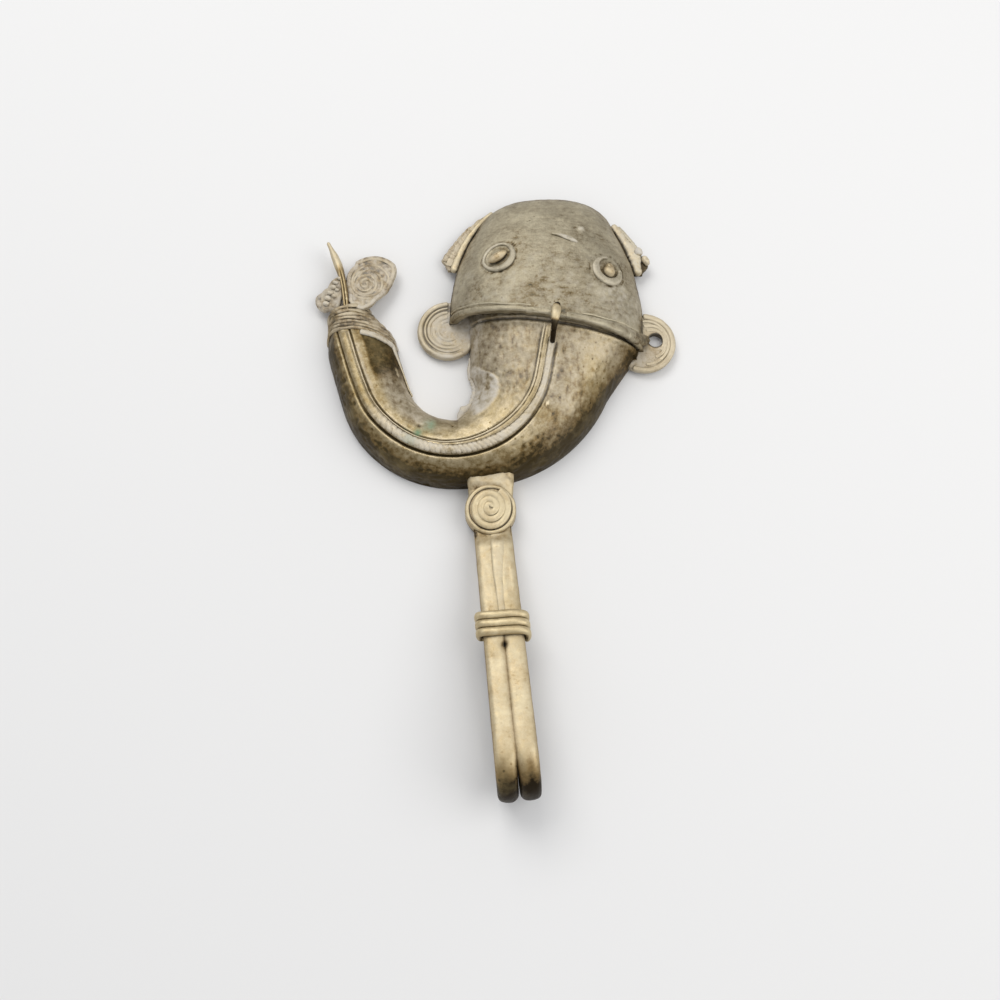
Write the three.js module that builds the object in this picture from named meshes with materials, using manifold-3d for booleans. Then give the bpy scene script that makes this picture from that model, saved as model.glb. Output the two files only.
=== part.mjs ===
// A brass mudfish figure with a long doubled shank that bends back into a belt hook.
// The real one is a single lost-wax casting, open at the back. Each mesh here is one of the
// wax elements that it was put together from: hollow shells, rolled threads, ropes and plates.
// Millimetres, +Z up, lying on its back rim. The plan is drawn about the centre of the
// curled body's crest circle, and the whole is moved to its footprint's centre at the end.
import * as THREE from "three";
import { mergeVertices } from "three/addons/utils/BufferGeometryUtils.js";
import Module from "manifold-3d";

const wasm = await Module();
wasm.setup();
const rad = THREE.MathUtils.degToRad;

// Clearances and walls
const SEAT_GAP = 0.3; // left between two elements that the metal fuses
const CUT_REACH = 1; // how far a cutting solid runs past the face that it cuts
const WELD = 1e-4; // corners nearer than this are one
const LOOP_STEPS = 24; // straight steps in one turn of a coil
const WALL = 2.5; // thickness of both shells

// Body shell
const CREST_RADIUS = 28.3;
const NECK_TURN = 10; // degrees short of a quarter turn where the neck runs straight
const TAIL_TURN = 17; // the same, on the tail's side
const NECK_LENGTH = 17; // straight neck, from the curl to the mouth line
const NECK_TUCK = 3; // how far the neck runs on inside the head
const TAIL_LENGTH = 29.5;
const TAIL_OUTER = 8.6;
const TAIL_INNER = 13;
const FLARE_LENGTH = 58; // from the neck's end to where the body has the tail's width
const OUTER_FLARE = 1.4; // higher narrows sooner
const INNER_FLARE = 0.8;
const TAIL_HEIGHT = 10.5;
const HEIGHT_FALL = 1.5; // how fast the crest drops behind the neck
const BODY_ROUNDNESS = 2.3;
const TIP_TAPER = 13; // last stretch, drawn in under the tail's binding
const TIP_OUTER = 5.4;
const TIP_INNER = 8.2;
const TIP_HEIGHT = 7.6;

// Head shell
const HEAD_HALF_WIDTH = 31;
const HEAD_LENGTH = 47.3; // from its widest line to the snout
const HEAD_HEIGHT = 20.6;
const HEAD_SHIFT = -2.3; // head's axis from the neck's crest
const HEAD_AHEAD = 2.5; // widest line, ahead of the mouth line on the crest
const OUTER_STEP = -0.3; // from the head's edge in to the neck's, on the body's outer side
const INNER_STEP = 5.3; // the same, on its inner side
const CREST_STEP = 3.3; // from the head's crown down to the neck's
const MOUTH_TILT = -8.6;
const PLAN_ROUNDNESS = 2.2;
const DOME_ROUNDNESS = 2.4;

const SNOUT_TIP = 0.1; // share of the last facet row left blunt

// Ragged flash along the neck's inner rim
const FLASH_FROM = 11; // behind the mouth line
const FLASH_LENGTH = 41.5;
const FLASH_WIDTH = 1.5;
const FLASH_RAGGEDNESS = 0.27;
const FLASH_BASE = 0.8;
const FLASH_THICKNESS = 1.6;

// Lips and the ring that joins them
const LIP_RADIUS = 1.0;
const LIP_END_RADIUS = 1.7;
const LIP_THREAD_RADIUS = 0.55;
const LIP_THREAD_BACK = 3.4;
const LIP_THREAD_START = 7; // to each side of the ring
const RING_WIRE = 0.9;
const RING_REACH = 5.6; // from its middle to each leg
const RING_BACK = 1.6; // its middle, behind the mouth line
const RING_ARCH = 3.3; // height of its arch over the head's crown
const RING_LEG = 1.4; // how far each leg stands out inside the shells

// Crest strips: a rope, a flat band and an edge thread, side by side
const ROPE_RADIUS = 1.05;
const ROPE_NOTCH_PITCH = 2.6;
const ROPE_NOTCH_DEPTH = 0.28;
const BAND_WIDTH = 1.5;
const BAND_HEIGHT = 0.9;
const EDGE_THREAD_RADIUS = 0.55;
const PANEL_THREAD_RADIUS = 0.6;
const PANEL_LENGTH = 21; // of the stretch along the tail's inner rim
const PANEL_RIM_ANGLE = 42; // degrees up the skin from that rim
const PANEL_RIM_DROP = 16; // how much nearer the rim it ends

// Eyes and brow, from the head's axis and its widest line
const LEFT_EYE = { across: -14.7, ahead: 18.2 };
const RIGHT_EYE = { across: 19.1, ahead: 14.1 };
const EYE_RING_RADIUS = 4.4;
const EYE_WIRE = 0.85;
const EYE_STRETCH = 1.15; // the left eye is oval
const EYE_SLANT = 20;
const EYE_OPENING = 60; // degrees that the right eye's ring leaves open
const EYE_OPENING_AT = 60; // direction of that opening
const EYE_BAR_RADIUS = 1.1;
const EYE_BAR_LENGTH = 3.6;
const PUPIL_RADIUS = 2.0;
const PUPIL_HEIGHT = 1.5;
const BROW = { across: 5.5, ahead: 24.9 };
const BROW_LENGTH = 7;
const BROW_RADIUS = 0.5;
const BROW_SLANT = -18;

// Barbels: coiled lobes at the corners of the mouth
const BARBEL_RADIUS = 9.9;
const BARBEL_BASE = 0.6;
const BARBEL_THICKNESS = 2.1;
const BARBEL_THREAD = 0.62;
const BARBEL_MARGIN = 0.2; // outside the outermost thread
const BARBEL_PITCH = 1.6;
// Drop is how far a lobe's centre lies off the mouth line. Sweep is the outermost thread's arc in
// degrees, and gain what each thread further in adds to it.
const LEFT_BARBEL = { drop: -1.9, threads: 5, sweep: 212, gain: 9, pierced: false };
const RIGHT_BARBEL = { drop: 3.1, threads: 4, sweep: 200, gain: -7, pierced: true };
const BARBEL_HOLE_RADIUS = 2.1;
const BARBEL_HOLE_OUT = 3.9;

// Side fins
const FIN_BASE = 2;
const FIN_THICKNESS = 1.8;
const FIN_BAR_RADIUS = 0.9;
const FIN_ROPE_RADIUS = 0.7;
const FIN_FOOT = 0.5; // width of the fin's lower edge, as a share of its reach
const FIN_RISE = 0.7; // how far above that edge it is widest, as a share of its reach
const LEFT_FIN = { low: 21, high: 41, reach: 6.6 };
const RIGHT_FIN = { low: 18.5, high: 36.5, reach: 5.2 };
const FIN_KNOB_RADIUS = 1.5;

// Tail: seven threads, a coiled disc, a beaded lobe and an upright blade
const WRAP_THREADS = 7;
const WRAP_RADIUS = 0.6;
const WRAP_PITCH = 1.55;
const WRAP_SAG = 2.6; // how much lower a thread lies at the rim than on the crest
const DISC_RADIUS = 8.5;
const DISC_THICKNESS = 1.8;
const DISC_BASE = 3.2;
const DISC_ACROSS = 11.2;
const DISC_ALONG = 7.6;
const DISC_COIL_RADIUS = 6.9;
const DISC_COIL_TURNS = 3.25;
const COIL_WIRE = 0.6;
const LOBE_RADIUS = 5.1;
const LOBE_ACROSS = -3.2;
const LOBE_ALONG = 6.6;
const LOBE_LEAN = 22;
const LOBE_BEADS = 9;
const LOBE_BEADS_FROM = 100; // degrees, as are the steps between beads
const LOBE_BEAD_STEP = 24;
const BEAD_RADIUS = 0.9;
const BLADE_ACROSS = 1.5;
const BLADE_LENGTH = 23.6;
const BLADE_WIDTH = 1.8;
const BLADE_FOOT = 2.4;
const BLADE_TOP = 8.4;
const BLADE_TIP_HEIGHT = 2;
const BLADE_TIP_WIDTH = 0.45;
const BLADE_ROUNDNESS = 3;

// Shank: collar, spiral boss, two rods, a wedge between them and a wire binding
const BOSS_RADIUS = 7.6;
const BOSS_BASE = 1.4;
const BOSS_TOP = 7.8;
const BOSS_COIL_RADIUS = 6.5;
const BOSS_COIL_TURNS = 3.1;
const BOSS_ACROSS = 10.8; // from the curl's centre
const COLLAR_LENGTH = 8.9; // boss's centre to the body's rim
const COLLAR_WIDTH = 13.4;
const COLLAR_FLARE = 1.2;
const SHANK_TURN = 5.7;
const SHANK_REACH = 84.8; // boss's centre to the end of the bend
const ROD_WIDTH = 5.4;
const ROD_END_WIDTH = 5.9;
const ROD_HEIGHT = 5;
const ROD_ROUNDNESS = 2.6;
const ROD_GAP = 0.4;
const ROD_ROOT_HEIGHT = 4.4; // rods' centre line under the boss
const ROD_START = 1; // from the boss's centre, inside the room that the boss takes
const HOOK_RADIUS = 8.9; // centre line of the bend
const RETURN_LENGTH = 40;
const FOOT_FLAT = 0.35; // depth of the flat that the hook lies on
const ROD_TIP = 6;
const ROD_TIP_BLUNTNESS = 0.34; // what is left of the rod at its very tip, as a share
const WEDGE_WIDTH = 3.6;
const WEDGE_END_WIDTH = 1.6;
const WEDGE_CROWN = 0.1; // its ridge over the rods
const WEDGE_EDGE = -0.3; // its edges under them
const BINDING_WIRE = 1.05;
const BINDING_PITCH = 2.65;
const BINDING_TURNS = 2.6;
const BINDING_AT = 33.2; // from the boss's centre
const BINDING_SQUARENESS = 4;
const BINDING_START = -9; // degrees from the shank's right side

// Finishes: dark on the body, grey on the head, pale where hands rub it, dusty in the coils
const DARK_BRASS = { color: 0x8a7446, roughness: 0.45, metalness: 1 };
const GREY_BRASS = { color: 0x857a5c, roughness: 0.5, metalness: 1 };
const POLISHED_BRASS = { color: 0xc9ae76, roughness: 0.35, metalness: 1 };
const DUSTY_BRASS = { color: 0xb5a382, roughness: 0.6, metalness: 1 };

// Solids and meshes

const figure = new THREE.Group();

function addMesh(parent, name, geometry, finish) {
  const mesh = new THREE.Mesh(geometry, new THREE.MeshStandardMaterial(finish));
  mesh.name = name;
  parent.add(mesh);
  return mesh;
}

function signedVolume(geometry) {
  const corners = (geometry.index ? geometry.toNonIndexed() : geometry).attributes.position;
  const [a, b, c] = [new THREE.Vector3(), new THREE.Vector3(), new THREE.Vector3()];
  let sum = 0;
  for (let i = 0; i < corners.count; i += 3) {
    a.fromBufferAttribute(corners, i);
    b.fromBufferAttribute(corners, i + 1);
    c.fromBufferAttribute(corners, i + 2);
    sum += a.dot(b.cross(c)) / 6;
  }
  return sum;
}

// The same closed surface with one vertex per corner and its faces pointing out.
function closed(geometry) {
  const bare = geometry.clone();
  bare.deleteAttribute("normal");
  bare.deleteAttribute("uv");
  const merged = mergeVertices(bare, WELD);
  if (signedVolume(merged) < 0) merged.index.array.reverse();
  return merged;
}

// A closed solid through rings of points, one ring for each section, with flat ends.
function loft(rings) {
  const count = rings[0].length;
  const last = (rings.length - 1) * count;
  const faces = [];
  for (let r = 0; r < last; r += count) {
    for (let i = 0; i < count; i++) {
      const j = (i + 1) % count;
      faces.push(r + i, r + j, r + count + j, r + i, r + count + j, r + count + i);
    }
  }
  for (let i = 1; i + 1 < count; i++) {
    faces.push(0, i + 1, i, last, last + i, last + i + 1);
  }
  const geometry = new THREE.BufferGeometry().setFromPoints(rings.flat());
  geometry.setIndex(faces);
  return closed(geometry);
}

function solid(geometry) {
  const { attributes, index } = closed(geometry);
  const vertProperties = attributes.position.array;
  const triVerts = new Uint32Array(index.array);
  return new wasm.Manifold(new wasm.Mesh({ numProp: 3, vertProperties, triVerts }));
}

function geometryOf(made) {
  const { numProp, vertProperties, triVerts } = made.getMesh();
  const positions = [];
  for (let i = 0; i < vertProperties.length; i += numProp) {
    positions.push(...vertProperties.subarray(i, i + 3));
  }
  const geometry = new THREE.BufferGeometry();
  geometry.setAttribute("position", new THREE.Float32BufferAttribute(positions, 3));
  geometry.setIndex([...triVerts]);
  return geometry;
}

function cut(geometry, ...cutters) {
  return geometryOf(cutters.reduce((left, cutter) => left.subtract(solid(cutter)), solid(geometry)));
}

function polygon(radius, sides) {
  const corners = Array.from({ length: sides }, (_, i) => (i * 2 * Math.PI) / sides);
  return new THREE.Shape(corners.map((a) => new THREE.Vector2(radius * Math.cos(a), radius * Math.sin(a))));
}

function wire(points, radius, steps, sides = 6) {
  const extrudePath = new THREE.CatmullRomCurve3(points);
  return closed(new THREE.ExtrudeGeometry(polygon(radius, sides), { steps, extrudePath }));
}

function plate(shape, base, thickness, curveSegments = 24) {
  const settings = { depth: thickness, bevelEnabled: false, curveSegments };
  return new THREE.ExtrudeGeometry(shape, settings).translate(0, 0, base);
}

function samples(count, make) {
  return Array.from({ length: count + 1 }, (_, i) => make(i / count));
}

// How far across a rounded section lies at this angle, as a share of its half width.
function archSide(angle, roundness) {
  return Math.sign(Math.cos(angle)) * Math.abs(Math.cos(angle)) ** (2 / roundness);
}

// A ring of points round such a section, placed by a function of its two directions.
function rounded(sides, halfWidth, halfHeight, roundness, place) {
  return Array.from({ length: sides }, (_, i) => {
    const angle = ((i + 0.5) * 2 * Math.PI) / sides;
    const across = halfWidth * archSide(angle, roundness);
    const up = halfHeight * archSide(angle - Math.PI / 2, roundness);
    return new THREE.Vector3(...place(across, up));
  });
}

function leastCoilGap(name, points, wireRadius) {
  let least = Infinity;
  points.forEach((p, i) => {
    for (let j = i + Math.round(LOOP_STEPS / 2); j < points.length; j++) {
      least = Math.min(least, p.distanceTo(points[j]));
    }
  });
  console.log(`${name}: least gap between turns ${(least - 2 * wireRadius).toFixed(2)} mm`);
}

// Body: a hollow tube cut along its back, curled about the crest circle

const NECK_OUTER = HEAD_HALF_WIDTH + HEAD_SHIFT - OUTER_STEP;
const NECK_INNER = HEAD_HALF_WIDTH - HEAD_SHIFT - INNER_STEP;
const NECK_HEIGHT = HEAD_HEIGHT - CREST_STEP;
const ARC_START = -rad(NECK_TURN);
const ARC_SWEEP = rad(180 - NECK_TURN - TAIL_TURN);
const NECK_RUN = NECK_TUCK + NECK_LENGTH;
const ARC_LENGTH = CREST_RADIUS * ARC_SWEEP;
const BODY_LENGTH = NECK_RUN + ARC_LENGTH + TAIL_LENGTH;

// Crest point, direction towards the tail and direction away from the curl, s along the crest.
function crestFrame(s) {
  const turned = THREE.MathUtils.clamp((s - NECK_RUN) / CREST_RADIUS, 0, ARC_SWEEP);
  const angle = ARC_START - turned;
  const out = new THREE.Vector2(Math.cos(angle), Math.sin(angle));
  const along = new THREE.Vector2(Math.sin(angle), -Math.cos(angle));
  const straight = s - NECK_RUN - turned * CREST_RADIUS;
  const point = out.clone().multiplyScalar(CREST_RADIUS).addScaledVector(along, straight);
  return { point, along, out };
}

function towardsTip(s, value, tipValue) {
  const drawn = THREE.MathUtils.smoothstep(s, BODY_LENGTH - TIP_TAPER, BODY_LENGTH);
  return THREE.MathUtils.lerp(value, tipValue, drawn);
}

function flare(s, power) {
  return THREE.MathUtils.clamp(1 - s / FLARE_LENGTH, 0, 1) ** power;
}

const outerHalf = (s) =>
  towardsTip(s, TAIL_OUTER + (NECK_OUTER - TAIL_OUTER) * flare(s, OUTER_FLARE), TIP_OUTER);
const innerHalf = (s) =>
  towardsTip(s, TAIL_INNER + (NECK_INNER - TAIL_INNER) * flare(s, INNER_FLARE), TIP_INNER);

function bodyHeight(s) {
  const left = THREE.MathUtils.clamp(1 - s / BODY_LENGTH, 0, 1) ** HEIGHT_FALL;
  return towardsTip(s, TAIL_HEIGHT + (NECK_HEIGHT - TAIL_HEIGHT) * left, TIP_HEIGHT);
}

// A point on the body's skin, offset outwards by grow: angle 0 is the outer rim and pi the inner.
function bodyPoint(s, angle, grow = 0) {
  const { point, out } = crestFrame(s);
  const half = (Math.cos(angle) > 0 ? outerHalf(s) : innerHalf(s)) + grow;
  const across = half * archSide(angle, BODY_ROUNDNESS);
  const spot = point.clone().addScaledVector(out, across);
  return new THREE.Vector3(spot.x, spot.y, (bodyHeight(s) + grow) * Math.sin(angle));
}

// The same skin by distance across the crest, positive towards the outer rim.
function onBody(s, across, lift) {
  const half = across > 0 ? outerHalf(s) : innerHalf(s);
  const share = (Math.abs(across) / half) ** (BODY_ROUNDNESS / 2);
  return bodyPoint(s, Math.acos(Math.sign(across) * share), lift);
}

function bodyLoft(grow, from, to, stations, segments, floor) {
  return loft(
    samples(stations, (u) => {
      const s = THREE.MathUtils.lerp(from, to, u);
      const ring = samples(segments, (v) => bodyPoint(s, Math.PI * v, grow));
      if (floor === 0) return ring;
      const feet = [ring.at(-1), ring[0]].map((p) => new THREE.Vector3(p.x, p.y, floor));
      return [...ring, ...feet];
    }),
  );
}

const MOUTH = crestFrame(NECK_TUCK).point;
const HEAD = new THREE.Vector2(MOUTH.x + HEAD_SHIFT, MOUTH.y + HEAD_AHEAD);
const mouthLine = (x) => MOUTH.y + Math.tan(rad(MOUTH_TILT)) * (x - MOUTH.x);

// Head: a dome, open at the mouth line and at the back

function headShare(ahead, grow) {
  return 1 - (Math.max(0, ahead) / (HEAD_LENGTH + grow)) ** PLAN_ROUNDNESS;
}

const headEdge = (ahead, grow = 0) =>
  (HEAD_HALF_WIDTH + grow) * headShare(ahead, grow) ** (1 / PLAN_ROUNDNESS);
const headRise = (ahead, grow = 0) => (HEAD_HEIGHT + grow) * Math.sqrt(headShare(ahead, grow));

function headHeight(across, ahead) {
  const share = Math.min(1, Math.abs(across) / headEdge(ahead));
  return headRise(ahead) * Math.sqrt(1 - share ** DOME_ROUNDNESS);
}

// A point of the head's arch over the mouth line, back being how far behind that line it lies.
function mouthArch(angle, grow, back) {
  const x = HEAD.x + (HEAD_HALF_WIDTH + grow) * archSide(angle, DOME_ROUNDNESS);
  return new THREE.Vector3(x, mouthLine(x) + back, (HEAD_HEIGHT + grow) * Math.sin(angle));
}

function headLoft(grow, front, floor, stations = 12, segments = 18) {
  const arch = (make) => {
    const ring = samples(segments, (v) => make(Math.PI * v));
    const feet = [ring.at(-1), ring[0]].map((p) => new THREE.Vector3(p.x, p.y, floor));
    return floor === 0 ? ring : [...ring, ...feet];
  };
  const rings = [arch((angle) => mouthArch(angle, grow, front))];
  for (let k = 1; k <= stations; k++) {
    const share = Math.min(k, stations - SNOUT_TIP) / stations;
    const ahead = (HEAD_LENGTH + grow) * Math.sin((share * Math.PI) / 2);
    rings.push(
      arch((angle) => {
        const across = headEdge(ahead, grow) * archSide(angle, DOME_ROUNDNESS);
        return new THREE.Vector3(HEAD.x + across, HEAD.y + ahead, headRise(ahead, grow) * Math.sin(angle));
      }),
    );
  }
  return loft(rings);
}

// Sets a mesh on the head's dome, its own +Z along the skin's normal.
function seatOnHead(mesh, { across, ahead }, lift, spin = 0) {
  const step = 0.5;
  const slopeX = (headHeight(across + step, ahead) - headHeight(across - step, ahead)) / (2 * step);
  const slopeY = (headHeight(across, ahead + step) - headHeight(across, ahead - step)) / (2 * step);
  const normal = new THREE.Vector3(-slopeX, -slopeY, 1).normalize();
  const skin = new THREE.Vector3(HEAD.x + across, HEAD.y + ahead, headHeight(across, ahead));
  mesh.position.copy(skin.addScaledVector(normal, lift));
  mesh.quaternion.setFromUnitVectors(new THREE.Vector3(0, 0, 1), normal);
  mesh.rotateZ(spin);
}

const grownHead = headLoft(SEAT_GAP, -SEAT_GAP, -CUT_REACH);
const grownBody = bodyLoft(SEAT_GAP, 0, BODY_LENGTH + SEAT_GAP, 40, 12, -CUT_REACH);

const RING_AHEAD = RING_REACH - RING_BACK;
const RING_BEHIND = RING_REACH + RING_BACK;

function ringLegHole(ahead) {
  const radius = RING_WIRE + SEAT_GAP;
  const drill = new THREE.CylinderGeometry(radius, radius, HEAD_HEIGHT, 12);
  return drill.rotateX(Math.PI / 2).translate(MOUTH.x, MOUTH.y + ahead, HEAD_HEIGHT);
}

function buildHead() {
  const hollow = headLoft(-WALL, -CUT_REACH, -CUT_REACH);
  const shell = cut(headLoft(0, 0, 0), hollow, ringLegHole(RING_AHEAD));
  addMesh(figure, "head_shell", shell, GREY_BRASS);
}

function buildBody() {
  const skin = bodyLoft(0, 0, BODY_LENGTH, 34, 12, 0);
  const hollow = bodyLoft(-WALL, -CUT_REACH, BODY_LENGTH - WALL, 28, 10, -CUT_REACH);
  const size = 2 * (HEAD_HALF_WIDTH + HEAD_LENGTH);
  const beyondMouth = new THREE.BoxGeometry(size, size, size).translate(0, size / 2 - SEAT_GAP, 0);
  beyondMouth.rotateZ(rad(MOUTH_TILT)).translate(MOUTH.x, MOUTH.y, 0);
  const roomInHead = headLoft(-WALL - SEAT_GAP, -CUT_REACH, -CUT_REACH);
  const aroundThroat = cut(beyondMouth, roomInHead);
  const shell = cut(skin, hollow, aroundThroat, ringLegHole(-RING_BEHIND));
  addMesh(figure, "body_shell", shell, DARK_BRASS);
}

// Thin ragged fin of metal that ran out along the neck's inner rim
function buildNeckFlash() {
  const top = FLASH_BASE + FLASH_THICKNESS;
  const rings = samples(22, (u) => {
    const s = NECK_TUCK + FLASH_FROM + FLASH_LENGTH * u;
    const { point, out } = crestFrame(s);
    const near = -innerHalf(s) - SEAT_GAP;
    const waves = Math.sin(9 * u) + Math.sin(23 * u);
    const swell = Math.sin(Math.PI * THREE.MathUtils.lerp(0.08, 0.92, u));
    const far = near - FLASH_WIDTH * (1 + FLASH_RAGGEDNESS * waves) * swell;
    const corner = (across, z) => {
      const spot = point.clone().addScaledVector(out, across);
      return new THREE.Vector3(spot.x, spot.y, z);
    };
    return [
      corner(near, FLASH_BASE),
      corner(far, FLASH_BASE),
      corner(far, top),
      corner(near, top),
    ];
  });
  addMesh(figure, "neck_flash", loft(rings), DUSTY_BRASS);
}

// Lips: a wire along each half of the mouth line, a finer thread behind them, and the ring

function taperedWire(points, radiusAt, steps, sides = 6) {
  const path = new THREE.CatmullRomCurve3(points);
  const { normals, binormals } = path.computeFrenetFrames(steps, false);
  const centres = path.getSpacedPoints(steps);
  return loft(
    centres.map((centre, i) => {
      const radius = radiusAt(i / steps);
      return samples(sides - 1, (v) => {
        const angle = (v * (sides - 1) * 2 * Math.PI) / sides;
        const ring = centre.clone().addScaledVector(normals[i], radius * Math.cos(angle));
        return ring.addScaledVector(binormals[i], radius * Math.sin(angle));
      });
    }),
  );
}

// Angle at the head's rim where a wire of this radius clears the barbel's threads.
function overBarbel(radius) {
  const height = BARBEL_BASE + BARBEL_THICKNESS + 2 * BARBEL_THREAD + 3 * SEAT_GAP + radius;
  return Math.asin(height / HEAD_HEIGHT);
}

function buildLips() {
  const ringGap = (RING_WIRE + SEAT_GAP + LIP_RADIUS) / HEAD_HALF_WIDTH;
  const middle = Math.acos((MOUTH.x - HEAD.x) / HEAD_HALF_WIDTH);
  const path = (from, to, radius) =>
    samples(12, (u) =>
      mouthArch(THREE.MathUtils.lerp(from, to, u), -SEAT_GAP, -SEAT_GAP - radius),
    );
  const left = path(Math.PI - overBarbel(LIP_RADIUS), middle + ringGap, LIP_RADIUS);
  addMesh(figure, "lip_left", wire(left, LIP_RADIUS, 16), GREY_BRASS);
  const right = path(middle - ringGap, overBarbel(LIP_END_RADIUS), LIP_END_RADIUS);
  const swelling = (u) => THREE.MathUtils.lerp(LIP_RADIUS, LIP_END_RADIUS, u);
  addMesh(figure, "lip_right", taperedWire(right, swelling, 16), GREY_BRASS);
  const lift = SEAT_GAP + LIP_THREAD_RADIUS;
  const rim = overBarbel(LIP_THREAD_RADIUS);
  const aside = Math.asin(LIP_THREAD_START / HEAD_HALF_WIDTH);
  const threads = {
    lip_thread_left: [Math.PI - rim, middle + aside],
    lip_thread_right: [middle - aside, rim],
  };
  for (const [name, [from, to]] of Object.entries(threads)) {
    const points = samples(12, (u) =>
      mouthArch(THREE.MathUtils.lerp(from, to, u), lift, LIP_THREAD_BACK),
    );
    addMesh(figure, name, wire(points, LIP_THREAD_RADIUS, 14, 5), GREY_BRASS);
  }
}

function buildMouthRing() {
  const crown = HEAD_HEIGHT + RING_ARCH;
  const legEnd = (ahead, skin) => new THREE.Vector3(MOUTH.x, MOUTH.y + ahead, skin - WALL - RING_LEG);
  const springing = HEAD_HEIGHT - WALL / 2;
  const arch = samples(8, (u) => {
    const y = MOUTH.y - RING_BACK + RING_REACH * Math.cos(Math.PI * u);
    return new THREE.Vector3(MOUTH.x, y, springing + (crown - springing) * Math.sin(Math.PI * u));
  });
  const neckEnd = legEnd(-RING_BEHIND, bodyHeight(NECK_TUCK + RING_BEHIND));
  const points = [legEnd(RING_AHEAD, HEAD_HEIGHT), ...arch, neckEnd];
  addMesh(figure, "mouth_ring", wire(points, RING_WIRE, 24), POLISHED_BRASS);
}

// Strips laid along the crest, from the ring to the tail's binding

const WRAP_START = BODY_LENGTH - (WRAP_THREADS - 0.5) * WRAP_PITCH;
const STRIPS_END = WRAP_START - WRAP_RADIUS - SEAT_GAP;

function buildCrestRope() {
  const from = NECK_TUCK + RING_BEHIND + RING_WIRE + SEAT_GAP;
  const length = STRIPS_END - from;
  const notches = Math.round(length / ROPE_NOTCH_PITCH);
  const sides = 6;
  const rings = samples(notches * 3, (u) => {
    const s = from + length * u;
    const centre = onBody(s, 0, SEAT_GAP + ROPE_RADIUS);
    const { out } = crestFrame(s);
    return samples(sides - 1, (v) => {
      const angle = (v * (sides - 1) * 2 * Math.PI) / sides;
      const twist = 2 * Math.PI * notches * u;
      const radius = ROPE_RADIUS - ROPE_NOTCH_DEPTH * (0.5 + 0.5 * Math.cos(twist + angle));
      const side = radius * Math.cos(angle);
      return new THREE.Vector3(
        centre.x + out.x * side,
        centre.y + out.y * side,
        centre.z + radius * Math.sin(angle),
      );
    });
  });
  addMesh(figure, "crest_rope", loft(rings), DARK_BRASS);
}

function buildCrestStrips() {
  const from = NECK_TUCK + 2 * LIP_RADIUS + 3 * SEAT_GAP;
  const bandMiddle = -(ROPE_RADIUS + SEAT_GAP + BAND_WIDTH / 2);
  const edgeMiddle = bandMiddle - BAND_WIDTH / 2 - SEAT_GAP - EDGE_THREAD_RADIUS;
  const bandFrom = from + RING_WIRE;
  const band = samples(44, (u) => {
    const s = THREE.MathUtils.lerp(bandFrom, STRIPS_END, u);
    const near = bandMiddle + BAND_WIDTH / 2;
    const far = bandMiddle - BAND_WIDTH / 2;
    return [
      onBody(s, near, SEAT_GAP),
      onBody(s, far, SEAT_GAP),
      onBody(s, far, SEAT_GAP + BAND_HEIGHT),
      onBody(s, near, SEAT_GAP + BAND_HEIGHT),
    ];
  });
  addMesh(figure, "crest_band", loft(band), DARK_BRASS);
  const edge = samples(40, (u) => {
    const s = THREE.MathUtils.lerp(from, STRIPS_END, u);
    return onBody(s, edgeMiddle, SEAT_GAP + EDGE_THREAD_RADIUS);
  });
  addMesh(figure, "crest_edge_thread", wire(edge, EDGE_THREAD_RADIUS, 44, 5), DARK_BRASS);
}

// A thread that frames the tail's inner panel: under the binding, then down along the rim
function buildPanelThread() {
  const lift = SEAT_GAP + PANEL_THREAD_RADIUS;
  const top = STRIPS_END - PANEL_THREAD_RADIUS;
  const besideStrips = ROPE_RADIUS + BAND_WIDTH + 2 * EDGE_THREAD_RADIUS + 3 * SEAT_GAP + lift;
  const share = (besideStrips / innerHalf(top)) ** (BODY_ROUNDNESS / 2);
  const inner = Math.PI - rad(PANEL_RIM_ANGLE);
  const sag = (angle) => WRAP_SAG * Math.cos(angle) ** 2;
  const across = samples(5, (u) => {
    const angle = THREE.MathUtils.lerp(Math.acos(-share), inner, u);
    return bodyPoint(top - sag(angle), angle, lift);
  });
  const down = samples(8, (u) => {
    const s = top - sag(inner) - 2 * PANEL_THREAD_RADIUS - PANEL_LENGTH * u;
    return bodyPoint(s, inner + rad(PANEL_RIM_DROP) * u, lift);
  });
  const points = [...across.slice(0, -1), ...down];
  addMesh(figure, "tail_panel_thread", wire(points, PANEL_THREAD_RADIUS, 22, 5), DUSTY_BRASS);
}

// Eyes and brow

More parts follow.
